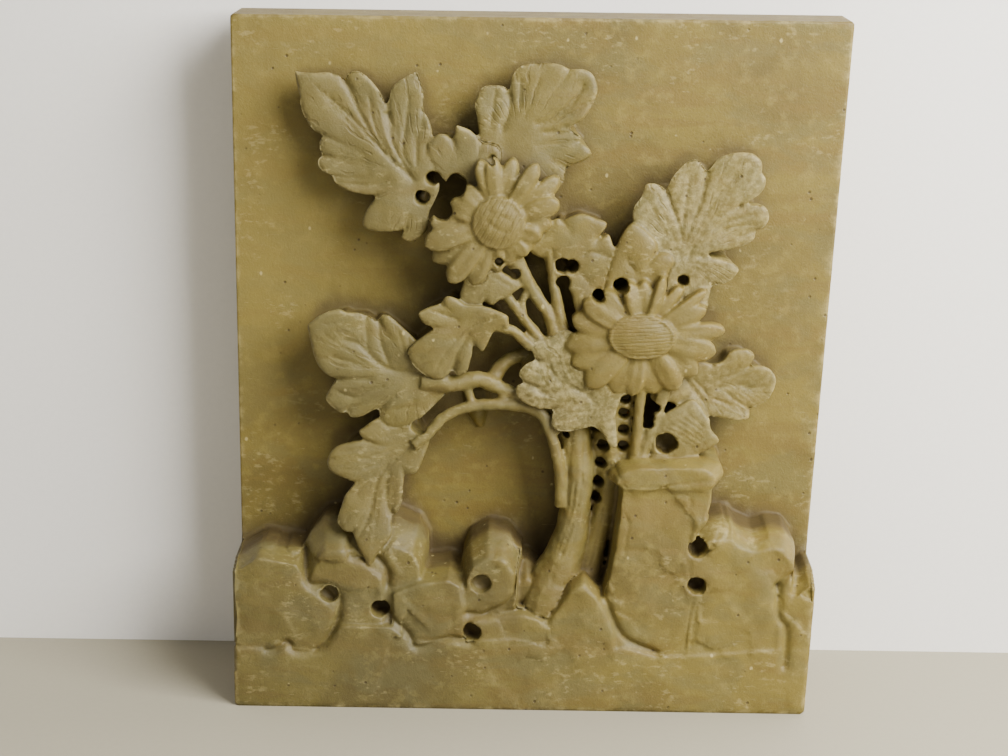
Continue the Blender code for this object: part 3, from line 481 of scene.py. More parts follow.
# Cuts on each form, by kind: the places that a smooth line runs through
STROKES = {
    "upper_left_leaf": {
        "fold": (
            ((-39.7, 132.4), (-37.0, 127.0), (-32.2, 119.0), (-25.8, 113.0)),
            ((-31.0, 126.0), (-29.7, 119.8), (-26.5, 113.9)),
        ),
        "vein": (
            ((-42.7, 129.1), (-37.5, 124.4), (-31.5, 118.0)),
            ((-34.7, 129.4), (-33.4, 123.0), (-29.7, 116.6)),
            ((-26.8, 129.4), (-27.2, 124.4), (-27.9, 118.9), (-26.5, 115.7)),
            ((-25.2, 121.6), (-25.0, 116.2)),
            ((-41.1, 112.1), (-34.7, 111.6), (-31.1, 112.5)),
        ),
        "line": (
            ((-33.6, 127.5), (-31.5, 120.7), (-29.3, 117.5)),
            ((-32.5, 128.5), (-30.6, 121.2), (-28.8, 118.0)),
            ((-29.0, 126.2), (-29.0, 120.3), (-27.9, 117.1)),
            ((-45.5, 131.5), (-41.0, 126.5), (-36.0, 121.0)),
            ((-43.0, 117.5), (-37.0, 116.5), (-31.0, 115.0)),
        ),
    },
    "upper_middle_leaf": {
        "fold": (
            ((-6.5, 130.2), (-6.5, 126.4), (-7.8, 123.2)), ((8.5, 132.3), (5.8, 128.0), (-0.5, 124.3)),
        ),
        "vein": (
            ((-9.2, 130.9), (-10.1, 124.1)), ((-4.2, 133.2), (-4.2, 128.2)), ((7.6, 122.5), (0.8, 122.7)),
            ((9.9, 128.9), (5.4, 126.1), (0.4, 124.3)),
        ),
        "line": (((7.6, 120.0), (3.1, 120.5), (-1.0, 120.0)), ((0.0, 134.5), (-1.5, 130.0), (-3.5, 125.5))),
    },
    "upper_right_leaf": {
        "fold": (
            ((40.8, 108.6), (36.0, 106.4), (32.7, 102.4), (30.6, 98.2)),
            ((33.9, 115.3), (32.7, 109.9), (30.0, 101.2)),
        ),
        "vein": (
            ((25.5, 111.6), (28.5, 104.5), (29.3, 101.2)), ((39.8, 114.9), (35.6, 109.9), (30.6, 100.8)),
            ((30.4, 114.1), (29.5, 107.8), (29.3, 104.5)), ((43.5, 107.0), (38.1, 105.5), (33.1, 102.0)),
            ((42.7, 104.9), (38.1, 103.9), (32.0, 99.9)),
        ),
        "line": (
            ((22.3, 109.5), (24.8, 104.5), (26.4, 102.0)), ((23.9, 110.3), (26.4, 104.1), (28.1, 100.8)),
            ((41.0, 102.8), (36.0, 102.2), (32.5, 99.3)), ((37.7, 95.8), (33.5, 96.6), (31.4, 97.0)),
            ((36.0, 94.3), (31.8, 95.8)),
        ),
    },
    "bud_leaf": {
        "vein": (((18.3, 98.0), (18.3, 97.0), (19.7, 95.2)), ((22.2, 96.2), (23.5, 98.2), (24.3, 98.8))),
    },
    "middle_leaf": {
        "vein": (((9.2, 98.3), (10.7, 99.0), (14.2, 98.0)), ((8.8, 94.3), (9.5, 93.5), (10.3, 92.7))),
    },
    "flower_stem_leaf": {
        "line": (
            ((-14.5, 90.0), (-11.0, 93.0)), ((-12.5, 88.8), (-9.8, 92.6)), ((-5.5, 91.6), (-9.0, 93.6)),
        ),
    },
    "left_upper_leaf": {
        "fold": (((-17.2, 74.3), (-16.5, 77.7), (-14.0, 82.0)),),
        "vein": (((-20.0, 86.3), (-16.3, 84.8)), ((-8.7, 85.7), (-14.0, 83.3), (-16.7, 80.7))),
        "line": (
            ((-24.5, 76.5), (-20.5, 79.5), (-16.5, 81.5)), ((-21.0, 73.8), (-18.8, 78.0), (-15.6, 81.6)),
        ),
    },
    "left_lower_leaf": {
        "fold": (((-39.8, 79.8), (-36.5, 78.7), (-32.9, 75.0), (-29.2, 73.3), (-24.6, 73.1)),),
        "vein": (
            ((-35.4, 85.0), (-35.2, 79.2), (-34.8, 77.7)), ((-32.7, 83.8), (-32.3, 79.2), (-30.8, 75.0)),
            ((-42.5, 76.2), (-36.2, 74.6)), ((-41.2, 71.2), (-34.2, 71.5)),
            ((-32.5, 65.0), (-30.4, 67.3), (-29.0, 67.9)),
            ((-41.0, 68.5), (-37.7, 67.6), (-35.0, 69.0), (-31.9, 70.0)),
            ((-29.2, 65.0), (-26.0, 66.0), (-25.4, 67.3)),
        ),
        "line": (
            ((-40.6, 74.4), (-36.9, 74.2)), ((-40.6, 70.4), (-36.9, 70.6)), ((-23.1, 66.2), (-20.8, 67.9)),
            ((-44.0, 81.0), (-39.0, 77.5), (-34.0, 74.0)),
        ),
    },
    "hanging_leaf": {
        "fold": (((-30.1, 43.0), (-30.8, 44.6), (-31.2, 48.9), (-30.6, 51.4)),),
        "vein": (
            ((-30.6, 53.6), (-32.8, 50.4), (-34.0, 45.7), (-35.1, 41.4), (-37.3, 37.3)),
            ((-26.4, 56.8), (-31.7, 52.1), (-35.6, 49.3), (-37.4, 47.1)),
        ),
        "line": (
            ((-42.4, 54.3), (-38.1, 55.0), (-33.5, 54.3)), ((-35.7, 58.4), (-31.0, 57.0)),
            ((-40.5, 52.3), (-36.0, 52.6), (-32.0, 53.6)), ((-32.6, 47.0), (-33.2, 41.0), (-34.0, 36.0)),
        ),
    },
    "curled_leaf": {
        "fold": (
            (
                (-2.3, 71.4), (-0.5, 70.8), (1.3, 69.5), (3.0, 69.3), (6.3, 70.3), (8.0, 70.4),
                (10.7, 69.2), (11.7, 67.7),
            ),
            ((3.7, 65.9), (5.3, 66.7), (7.3, 67.7)),
        ),
        "vein": (
            ((0.0, 76.2), (2.7, 75.8)), ((4.0, 76.3), (4.8, 73.7), (7.0, 71.3), (8.7, 70.5)),
            ((3.0, 74.7), (3.8, 73.3), (5.7, 71.2)),
        ),
    },
    "right_leaf": {
        "fold": (
            ((38.0, 70.1), (41.8, 70.7), (45.3, 70.1), (48.0, 71.0), (49.2, 73.5)),
            ((29.5, 73.7), (32.2, 70.5), (34.9, 67.2)),
            ((38.0, 71.8), (39.5, 72.6), (41.8, 73.3), (44.2, 74.7)),
        ),
        "vein": (
            ((32.6, 72.0), (34.5, 70.1), (35.7, 68.5)), ((39.5, 69.3), (41.1, 67.8), (44.4, 65.6)),
            ((37.2, 67.8), (41.8, 66.2), (43.4, 64.7)),
        ),
    },
    "rocks": {
        "seam": (
            ((-48.5, 33.9), (-47.7, 27.6), (-43.3, 27.2), (-41.6, 25.5)),
            (
                (-56.6, 12.7), (-54.7, 13.0), (-52.1, 14.4), (-50.5, 12.6), (-45.4, 13.1), (-41.7, 18.7),
                (-40.8, 24.3),
            ),
            ((-30.8, 27.4), (-31.0, 30.8), (-33.3, 33.4), (-36.1, 33.2), (-38.6, 33.8), (-38.8, 36.5)),
            ((-13.0, 15.3), (-18.1, 15.9), (-24.5, 13.7), (-26.6, 16.9), (-30.4, 20.7)),
            ((-9.5, 21.5), (-4.7, 24.5), (-3.1, 31.7), (-2.9, 35.5), (-6.1, 40.1)),
            ((2.6, 21.2), (-0.4, 22.7), (-9.1, 21.0), (-14.1, 21.4)),
            ((8.9, 30.5), (3.0, 21.7)), ((26.3, 13.4), (19.2, 16.9), (15.6, 24.6), (14.6, 30.0)),
            ((51.5, 28.5), (52.0, 22.0), (53.6, 19.6), (53.8, 15.0), (53.6, 10.9)),
            ((57.6, 31.8), (53.9, 31.3), (51.3, 28.5)),
        ),
        "trim": (
            ((18.9, 44.5), (19.6, 41.6), (18.7, 34.5)),
            ((16.4, 51.2), (18.7, 50.4), (24.7, 50.5), (30.3, 51.2), (36.7, 52.2)),
            ((28.9, 48.8), (31.8, 48.6), (32.7, 46.6)), ((33.9, 26.0), (33.2, 22.8), (32.4, 14.7)),
            ((35.0, 24.9), (34.1, 19.9), (33.7, 14.7)), ((-5.0, 15.0), (0.1, 15.5), (3.3, 16.0)),
        ),
    },
    "front_trunk": {
        "vein": (
            ((7.6, 60.5), (7.0, 52.0), (7.0, 45.0)), ((10.2, 58.0), (9.6, 48.0), (8.0, 40.0), (5.4, 33.0)),
        ),
        "line": (((8.6, 50.0), (7.6, 43.0), (5.0, 34.0), (3.6, 27.0)),),
    },
    "upper_flower_disc": {
        "line": (
            ((-11.5, 103.5), (-9.5, 107.5)), ((-10.2, 102.2), (-8.6, 105.2)),
            ((-8.9, 106.0), (-7.0, 108.8)),
            ((-7.8, 102.0), (-6.4, 104.4)), ((-6.0, 103.6), (-5.2, 106.6)), ((-11.0, 106.5), (-9.8, 108.6)),
            ((-9.6, 104.6), (-7.2, 103.4)), ((-8.0, 107.0), (-5.8, 105.8)), ((-10.6, 105.6), (-8.4, 104.4)),
        ),
    },
    "back_trunk": {"vein": (((14.5, 44.0), (13.4, 37.0), (11.8, 30.5)),)},
}

# Rows of even cuts: the form, the kind, how many, and the first and the last line
CUT_ROWS = (
    (
        "curled_leaf", "line", 6, ((0.6, 75.2), (1.2, 72.6), (2.6, 70.5)),
        ((5.2, 78.0), (6.6, 74.0), (9.5, 71.0)),
    ),
    (
        "curled_leaf", "line", 3, ((-3.6, 70.2), (0.0, 68.2), (4.5, 67.9)),
        ((-2.4, 67.9), (1.0, 66.8), (3.4, 66.5)),
    ),
    (
        "curled_leaf", "line", 4, ((4.2, 64.8), (6.5, 66.4), (10.5, 67.2)),
        ((4.5, 62.3), (8.5, 63.0), (12.5, 63.2)),
    ),
    (
        "right_leaf", "line", 4, ((40.2, 70.2), (42.8, 68.2), (44.8, 66.2)),
        ((44.6, 69.8), (46.8, 68.8), (48.4, 68.2)),
    ),
    (
        "right_leaf", "line", 3, ((36.6, 66.6), (39.5, 65.4), (42.8, 64.0)),
        ((37.2, 69.0), (40.6, 67.4), (44.0, 65.0)),
    ),
    (
        "right_leaf", "line", 3, ((39.5, 73.5), (41.5, 75.0), (43.2, 77.0)),
        ((36.5, 73.0), (38.0, 74.6), (40.0, 76.8)),
    ),
    (
        "right_leaf", "line", 3, ((38.5, 71.2), (42.5, 72.2), (46.5, 74.0)),
        ((42.0, 71.0), (45.5, 71.4), (48.2, 73.4)),
    ),
    (
        "pillar_leaf", "line", 6, ((31.0, 65.6), (33.2, 63.9), (35.8, 61.6)),
        ((26.0, 61.4), (29.6, 59.8), (33.4, 57.6)),
    ),
    (
        "lower_flower_disc", "line", 9, ((17.0, 78.6), (21.4, 78.1), (25.6, 78.7)),
        ((17.0, 85.7), (21.4, 86.2), (25.8, 85.7)),
    ),
    (
        "front_trunk", "line", 3, ((6.2, 48.0), (6.0, 41.0), (4.2, 35.0)),
        ((10.6, 50.0), (9.0, 40.0), (7.2, 34.0)),
    ),
    (
        "hanging_leaf", "line", 4, ((-41.0, 55.8), (-36.0, 56.8), (-30.0, 57.6)),
        ((-38.6, 47.5), (-35.5, 50.5), (-29.0, 54.5)),
    ),
    (
        "left_lower_leaf", "line", 5, ((-29.0, 83.0), (-27.5, 78.0), (-26.0, 74.4)),
        ((-20.0, 76.0), (-21.5, 74.5), (-24.0, 73.6)),
    ),
)

# Drilled holes: x, z, width and the rise of the bottom
DRILLED_HOLES = (
    (-21.8, 113.2, 2.8, 1.5), (-23.9, 109.3, 3.1, 2.0), (-17.0, 112.0, 4.4, 2.5), (-19.6, 107.2, 4.2, 2.5),
    (-24.4, 61.5, 3.3, 5.0), (0.6, 93.8, 2.6, 5.0), (5.0, 95.9, 3.4, 3.0), (6.8, 95.8, 3.0, 3.0),
    (5.1, 92.4, 3.0, 3.0), (12.4, 90.0, 2.6, 4.0), (16.9, 92.2, 3.1, 4.0), (27.2, 58.6, 4.6, 7.5),
    (23.5, 64.2, 2.4, 5.0), (23.6, 62.6, 2.0, 5.0), (24.6, 66.2, 2.4, 7.5), (18.5, 68.0, 2.6, 4.0),
    (18.4, 64.6, 2.6, 4.0), (18.4, 60.9, 2.6, 4.0), (18.3, 57.4, 2.6, 4.5), (6.4, 59.8, 1.6, 4.0),
    (14.2, 57.2, 2.6, 3.0), (13.8, 53.3, 2.6, 3.0), (13.4, 49.1, 2.6, 3.0), (12.9, 45.6, 2.6, 3.0),
    (-32.3, 22.2, 3.8, 10.5), (-43.0, 25.4, 3.6, 13.0), (-12.8, 17.4, 3.8, 12.6), (-11.0, 28.2, 3.9, 13.3),
    (34.4, 37.0, 3.8, 11.5), (34.3, 28.7, 3.9, 11.5), (29.7, 93.2, 2.4, 7.5), (33.9, 65.0, 0.9, 10.0),
    (-8.1, 97.0, 1.9, 6.5), (-4.8, 94.2, 2.4, 6.0), (-9.8, 117.4, 1.6, 7.4), (-6.8, 103.4, 0.6, 13.4),
)
DRILL_SIDES = 24

# A hole's rings: share of its width, and height above its bottom
DRILL_RINGS = ((0.35, 0.0), (0.8, 0.15), (1.0, 0.6), (1.0, 4.0), (1.0, 30.0))

# Pale bruises: x, z and size
BRUISES = (
    (14.6, 6.8, 1.1), (15.6, 5.2, 0.7), (38.2, 40.6, 2.2),
    (46.0, 38.4, 1.6), (-4.6, 36.4, 1.4), (44.0, 95.6, 1.6),
)


def at(x, z, rise):
    """The world place of a grid place on the relief."""
    return Vector((x * MM, PANEL_FACE - rise * MM, z * MM))


def new_object(name, shape):
    """An object from a bmesh, which is freed."""
    mesh = bpy.data.meshes.new(name)
    shape.to_mesh(mesh)
    shape.free()
    made = bpy.data.objects.new(name, mesh)
    bpy.context.scene.collection.objects.link(made)
    return made


def loft(shape, rings):
    """Grows a closed form from its first ring of points through the others, capped at both ends."""
    face = shape.faces.new([shape.verts.new(point) for point in rings[0]])
    for number, ring in enumerate(rings[1:]):
        grown = bmesh.ops.extrude_face_region(shape, geom=[face])["geom"]
        if number > 0:
            bmesh.ops.delete(shape, geom=[face], context="FACES_ONLY")
        face = next(part for part in grown if isinstance(part, bmesh.types.BMFace))
        for vert, point in zip(face.verts, ring):
            vert.co = point


def closed_form(name, rings):
    """A lofted form as an object in triangles that face outwards."""
    shape = bmesh.new()
    loft(shape, rings)
    bmesh.ops.triangulate(shape, faces=shape.faces)
    bmesh.ops.recalc_face_normals(shape, faces=shape.faces)
    return new_object(name, shape)


def leaf_outline(plan):
    """Points round a leaf as an array."""
    lobes = plan["lobes"]
    points = []
    for lobe, following in zip(lobes, lobes[1:] + lobes[:1]):
        corners = [np.array(place) for place in (*lobe, following[0])]
        points.extend(through(corners, CURVE_STEPS)[:-1])
    return np.array(points)


def notches(plan):
    """The places where a leaf's outline turns inwards between two lobes."""
    outline = leaf_outline(plan)
    inward = -math.copysign(1, np.cross(outline, np.roll(outline, -1, axis=0)).sum())
    found = []
    for lobe in plan["lobes"]:
        place = np.array(lobe[0])
        index = int(np.argmin(((outline - place) ** 2).sum(axis=1)))
        before, after = place - outline[index - 2], outline[(index + 2) % len(outline)] - place
        turn = math.atan2(before[0] * after[1] - before[1] * after[0], before @ after)
        if turn * inward > 0.5:
            found.append(place)
    return found


def nearest_on_line(points, line):
    """For each point, the nearest place on a line, and its share along the line."""
    start, end = np.array(line[0]), np.array(line[1])
    span = end - start
    share = np.clip((points - start) @ span / (span @ span), 0.0, 1.0)
    return start + share[:, None] * span, share


def distance_to(points, line):
    """How far each point is from a line of places."""
    near = np.full(len(points), 1e9)
    for segment in zip(line, line[1:]):
        nearest = nearest_on_line(points, segment)[0]
        near = np.minimum(near, ((points - nearest) ** 2).sum(axis=1))
    return np.sqrt(near)


def leaf_plane(plan, points):
    """The rise of a leaf's flat blank at grid places."""
    return plan["rise"] + (points - np.array(plan["heart"])) @ np.array(plan["tilt"])


def leaf(name, plan):
    """A leaf's flat blank on undercut walls."""
    outline = leaf_outline(plan)
    rib = nearest_on_line(outline, plan["rib"])[0]
    rings = []
    for share, drop in LEAF_RINGS:
        points = rib + share * (outline - rib)
        rise = np.full(len(points), -ROOT) if drop is None else leaf_plane(plan, points) - drop
        rings.append([at(x, z, height) for (x, z), height in zip(points, rise)])
    return closed_form(name, rings)


def leaf_swell(name, plan, points):
    """How far a carved leaf stands above its blank: full between cuts, down at its edge and folds."""
    outline = leaf_outline(plan)
    edge = distance_to(points, np.vstack((outline, outline[:1])))
    cuts = [line for kind in ("fold", "vein") for line in STROKES.get(name, {}).get(kind, ())]
    near_cut = np.full(len(points), 9.0)
    for line in cuts:
        curve = through([np.array(place) for place in line], 3)
        near_cut = np.minimum(near_cut, distance_to(points, curve))
    rise = 0.42 * (1 - np.exp(-edge / 0.7)) - 0.32
    rise += 0.20 * (1 - np.exp(-((near_cut / 1.3) ** 2))) - 0.10
    heart = np.array(plan["heart"])
    for notch in notches(plan):
        nearest, share = nearest_on_line(points, (notch, notch + 0.45 * (heart - notch)))
        away = np.hypot(*(points - nearest).T)
        rise -= (0.34 - 0.30 * share) * np.exp(-((away / 0.50) ** 2))
    rise += 0.75 * np.array([noise.noise(Vector((x * 0.12, z * 0.12, plan["rise"]))) for x, z in points])
    return rise


def petal(name, centre, bearing, width, reach, rise, lean):
    """A tongue that fills out towards a blunt point, hollowed off its middle, with one side higher."""
    angle = math.radians(bearing)
    along = np.array((math.cos(angle), math.sin(angle)))
    across = np.array((-along[1], along[0]))
    crease = 0.4 * math.sin(bearing * 1.7)
    bend = 0.5 * math.sin(bearing * 3.3)
    rings = []
    for station in range(PETAL_STATIONS + 1):
        share = station / PETAL_STATIONS
        distance = PETAL_ROOT + (reach - PETAL_ROOT) * share
        half = width * 0.58 * (0.66 + 0.34 * math.sin(min(share / 0.6, 1.0) * math.pi / 2))
        if share > 0.72:
            half *= max(0.0, 1 - ((share - 0.72) / 0.285) ** 2.0) ** 0.52
        half = max(half, 0.12)
        place = np.array(centre) + along * distance + across * bend * share**2
        top = rise - 0.6 + 0.8 * math.sin(share * math.pi * 0.8) - lean * share**2
        ring = []
        for step in range(PETAL_STEPS + 1):
            side = 1 - 2 * step / PETAL_STEPS
            hollow = 0.30 * math.exp(-(((side - crease) / 0.32) ** 2)) * min(1.0, 2.2 * (1 - share))
            rim = 0.95 * (1 - abs(side) ** 2.6) ** 0.5
            x, z = place + across * side * half
            ring.append(at(x, z, top - 0.85 + rim - hollow + 0.28 * side))
        for side in (-0.90, 0.90):
            x, z = place + across * side * half
            ring.append(at(x, z, top - PETAL_THICKNESS))
        rings.append(ring)
    return closed_form(name, rings)


def oval(centre, radii, rise, sides=48):
    """Points of an ellipse on the grid at one rise."""
    points = []
    for step in range(sides):
        turn = 2 * math.pi * step / sides
        points.append(at(centre[0] + radii[0] * math.cos(turn), centre[1] + radii[1] * math.sin(turn), rise))
    return points


def flower(name, plan):
    """The calyx rooted in the panel, the petals, and the rimmed disc without its hatching."""
    centre, rise = plan["centre"], plan["rise"]
    wide, high = plan["disc"]
    forms = [
        closed_form(name + "_calyx", [
            oval(centre, (wide * 1.15, high * 1.25), -ROOT),
            oval(centre, (wide * 1.45, high * 1.65), rise - 4.2),
            oval(centre, (wide * 1.05, high * 1.05), rise - 1.0),
        ]),
        closed_form(name + "_disc", [
            oval(centre, (wide * share, high * share), rise + lift) for share, lift in DISC_RINGS
        ]),
    ]
    for number, (bearing, reach, width) in enumerate(plan["petals"]):
        lean = 1.0 + 0.6 * math.sin(bearing * 2.9)
        lift = 0.45 * (number % 2) + 0.25 * math.sin(bearing * 5.3) - 0.2
        forms.append(petal(f"{name}_petal_{number + 1}", centre, bearing, width, reach, rise + lift, lean))
    return forms


def through(places, steps):
    """Places on a smooth curve through the given ones."""
    padded = [2 * places[0] - places[1], *places, 2 * places[-1] - places[-2]]
    curve = []
    for a, b, c, d in zip(padded, padded[1:], padded[2:], padded[3:]):
        for step in range(steps):
            t = step / steps
            bend, twist = 2 * a - 5 * b + 4 * c - d, 3 * b - a - 3 * c + d
            curve.append(0.5 * (2 * b + (c - a) * t + bend * t**2 + twist * t**3))
    return [*curve, places[-1]]


def stem(name, places):
    """A round stem along a smooth curve, a little uneven as a knife leaves it."""
    curve = through([np.array(place) for place in places], 8)
    rings = []
    for index, (x, z, rise, radius) in enumerate(curve):
        ahead = at(*curve[min(index + 1, len(curve) - 1)][:3]) - at(*curve[max(index - 1, 0)][:3])
        ahead.normalize()
        side = ahead.cross(Vector((0, 1, 0))).normalized()
        up = side.cross(ahead)
        ring = []
        for step in range(STEM_SIDES):
            turn = 2 * math.pi * step / STEM_SIDES
            uneven = 1 + 0.10 * noise.noise(Vector((x * 0.5, z * 0.25, step * 0.6)))
            outward = side * math.cos(turn) + up * math.sin(turn)
            ring.append(at(x, z, rise) + outward * radius * uneven * MM)
        rings.append(ring)
    return closed_form(name, rings)


def rock(name, plan):
    """A boulder hewn to flat faces, with its arrises taken off."""
    foot = np.array(plan["foot"])
    corners = [np.array(corner) for corner in plan["corners"]]
    face = [foot + (corner - foot) * (1 - plan["bevel"]) for corner in corners]
    shape = bmesh.new()
    loft(shape, [
        [at(*corner, -ROOT) for corner in corners],
        [at(*corner, plan["shoulder"]) for corner in corners],
        [at(*corner, plan["face"]) for corner in face],
    ])
    bmesh.ops.recalc_face_normals(shape, faces=shape.faces)
    bmesh.ops.bevel(
        shape, geom=shape.edges, affect="EDGES", offset=0.5 * MM, segments=2, profile=0.5, material=-1,
        clamp_overlap=True,
    )
    bmesh.ops.triangulate(shape, faces=shape.faces)
    return new_object(name, shape)


def drilled_hole(name, x, z, width, bottom):
    """A drill's path from in front of the relief down to a rounded bottom, a little out of round."""
    rings = []
    for share, lift in DRILL_RINGS:
        ring = []
        for step in range(DRILL_SIDES):
            turn = 2 * math.pi * step / DRILL_SIDES
            side = Vector((math.cos(turn), math.sin(turn), 0))
            radius = width / 2 * share * (1 + 0.14 * noise.noise(side * 1.3 + Vector((x, z, 0))))
            ring.append(at(x + side.x * radius, z + side.y * radius, bottom + lift))
        rings.append(ring)
    return closed_form(name, rings)


def block_outline(depth, margin):
    """The sawn block's corners at one depth, grown by a margin in metres. The right edge leans in."""
    lean = RIGHT_EDGE_LEAN * MM
    return [
        Vector((BLOCK_LOW.x - margin, depth, BLOCK_LOW.z - margin)),
        Vector((BLOCK_HIGH.x - lean + margin, depth, BLOCK_LOW.z - margin)),
        Vector((BLOCK_HIGH.x + margin, depth, BLOCK_HIGH.z + margin)),
        Vector((BLOCK_LOW.x - margin, depth, BLOCK_HIGH.z + margin)),
    ]


def sawn_block():
    """The block that bounds the carving, its edges and corners worn round."""
    shape = bmesh.new()
    loft(shape, [block_outline(BLOCK_HIGH.y, 0.0), block_outline(BLOCK_LOW.y, 0.0)])
    bmesh.ops.recalc_face_normals(shape, faces=shape.faces)
    bmesh.ops.bevel(
        shape, geom=shape.edges, affect="EDGES", offset=BLOCK_ROUND * MM, segments=4, profile=0.5,
        material=-1,
    )
    bmesh.ops.triangulate(shape, faces=shape.faces)
    return new_object("sawn_block", shape)


def group(name, objects):
    """A collection that holds objects for a Boolean."""
    made = bpy.data.collections.new(name)
    for one in objects:
        made.objects.link(one)
    return made


def apply_modifiers(piece):
    """Turns a piece's modifiers into its mesh."""
    graph = bpy.context.evaluated_depsgraph_get()
    graph.update()
    mesh = bpy.data.meshes.new_from_object(piece.evaluated_get(graph))
    piece.modifiers.clear()
    piece.data = mesh


def boolean(piece, operation, operand):
    """A Boolean with one object or a collection."""
    modifier = piece.modifiers.new(operation, "BOOLEAN")
    modifier.operation = operation
    modifier.solver = "MANIFOLD"
    if isinstance(operand, bpy.types.Collection):
        modifier.operand_type = "COLLECTION"
        modifier.collection = operand
    else:
        modifier.object = operand


def rough_out():
    """The stone joined, sawn and drilled, in even small faces, and the forms it was joined from."""
    forms = {name: rock(name, plan) for name, plan in ROCKS.items()}
    forms |= {name: stem(name, places) for name, places in STEMS.items()}
    forms |= {name: leaf(name, plan) for name, plan in LEAVES.items()}
    for name, plan in FLOWERS.items():
        forms |= {form.name: form for form in flower(name, plan)}
    holes = [drilled_hole(f"hole_{number}", *hole) for number, hole in enumerate(DRILLED_HOLES, 1)]
    block = sawn_block()
    margin = 2 * MM
    stone = closed_form("carved_plaque", [
        block_outline(BLOCK_HIGH.y + margin, margin), block_outline(PANEL_FACE, margin),
    ])
    boolean(stone, "UNION", group("relief", forms.values()))
    boolean(stone, "INTERSECT", block)
    boolean(stone, "DIFFERENCE", group("holes", holes))
    remesh = stone.modifiers.new("even cut", "REMESH")
    remesh.mode = "VOXEL"
    remesh.voxel_size = VOXEL
    apply_modifiers(stone)
    for helper in [*holes, block]:
        bpy.data.objects.remove(helper, do_unlink=True)
    return stone, forms


def read_places(mesh):
    """The mesh's points as an array."""
    places = np.empty(len(mesh.vertices) * 3)
    mesh.vertices.foreach_get("co", places)
    return places.reshape(-1, 3)


def read_normals(mesh):
    """The mesh's vertex normals as an array."""
    normals = np.empty(len(mesh.vertices) * 3)
    mesh.vertex_normals.foreach_get("vector", normals)
    return normals.reshape(-1, 3)


def write_places(mesh, places):
    """Moves the mesh's points to the given ones."""
    mesh.vertices.foreach_set("co", places.ravel())
    mesh.update()


def on_grid(places):
    """World places as x, z and rise on the grid."""
    return places[:, 0] / MM, places[:, 2] / MM, (PANEL_FACE - places[:, 1]) / MM


def forms_near(forms, places, reach):
    """For each place, the number of the form whose skin is nearest, or -1 beyond reach."""
    points, faces, owner = [], [], []
    for number, form in enumerate(forms.values()):
        base = len(points)
        points.extend(vert.co.copy() for vert in form.data.vertices)
        faces.extend([base + vert for vert in face.vertices] for face in form.data.polygons)
        owner.extend([number] * len(form.data.polygons))
    tree = BVHTree.FromPolygons(points, faces)
    found = np.full(len(places), -1)
    for index, place in enumerate(places):
        face = tree.find_nearest(Vector(place), reach)[2]
        if face is not None:
            found[index] = owner[face]
    return found


def wander(places, scale, seed):
    """Smooth noise at places, about -1 to 1. Scale is the size of its patches in thousandths of a metre."""
    shift = Vector((seed * 7.3, seed * 3.1, seed * 5.7))
    return np.array([noise.noise(Vector(place) / (scale * MM) + shift) for place in places])


def hewn(places, spacing, slope, seed):
    """Flat chisel facets that meet in low ridges, as depths below the surface."""
    draw = np.random.default_rng(seed)
    low, high = places.min(axis=0), places.max(axis=0)
    count = int(np.prod((high - low)[[0, 2]]) / (spacing * MM) ** 2)
    seeds = draw.uniform(low, high, (count, 3))
    lean = draw.normal(0, slope, (count, 3))
    tree = kdtree.KDTree(count)
    for index, place in enumerate(seeds):
        tree.insert((place[0], 0, place[2]), index)
    tree.balance()
    depths = np.empty(len(places))
    for index, place in enumerate(places):
        near = [found[1] for found in tree.find_n((place[0], 0, place[2]), 4)]
        offsets = place - seeds[near]
        offsets[:, 1] = 0
        depths[index] = (offsets * lean[near]).sum(axis=1).min()
    return depths


def cut_depth(points, kind, line):
    """How deep one cut of a kind is at grid places: a soft valley with a sharp bottom."""
    half_width, depth = CUTS[kind]
    curve = through([np.array(place) for place in line], CURVE_STEPS)
    away = distance_to(points, curve) / half_width
    return depth * (0.45 * np.exp(-(away**2)) + 0.55 * np.exp(-((away * 2.2) ** 2)))


def all_cuts():
    """Every cut as its form, kind and line. A row's lines spread evenly from its first to its last."""
    for form, kinds in STROKES.items():
        for kind, lines in kinds.items():
            for line in lines:
                yield form, kind, line
    for form, kind, count, first, last in CUT_ROWS:
        for number in range(count):
            share = number / (count - 1)
            yield form, kind, np.array(first) * (1 - share) + np.array(last) * share


def engrave(places, normals, owner, names):
    """Makes every cut in the form that it belongs to."""
    x, z, _ = on_grid(places)
    for form, kind, line in all_cuts():
        members = [
            number for number, name in enumerate(names)
            if name == form or (form == "rocks" and name in ROCKS)
        ]
        low, high = np.min(line, axis=0) - 3, np.max(line, axis=0) + 3
        near = np.isin(owner, members) & (normals[:, 1] < -0.3)
        near &= (x > low[0]) & (x < high[0]) & (z > low[1]) & (z < high[1])
        chosen = np.flatnonzero(near)
        if len(chosen):
            points = np.column_stack((x[chosen], z[chosen]))
            places[chosen, 1] += cut_depth(points, kind, line) * MM


def right_edge(heights):
    """Where the block's leaning right side is at heights above the underside."""
    lean = RIGHT_EDGE_LEAN * MM
    return BLOCK_HIGH.x - lean + lean * (heights - BLOCK_LOW.z) / (BLOCK_HIGH.z - BLOCK_LOW.z)


def flatten_sides(places):
    """Presses what lies on the block's sawn sides flat on them, and keeps all of it inside them."""
    slack = VOXEL * 0.8
    sides = ((0, BLOCK_LOW.x, -1), (2, BLOCK_LOW.z, -1), (2, BLOCK_HIGH.z, 1), (1, BLOCK_HIGH.y, 1))
    for axis, side, outward in sides:
        beyond = outward * (places[:, axis] - side) > -slack
        places[beyond, axis] = side
    places[:, 1] = np.maximum(places[:, 1], BLOCK_LOW.y)
    edge = right_edge(places[:, 2])
    beyond = places[:, 0] > edge - slack
    places[beyond, 0] = edge[beyond]


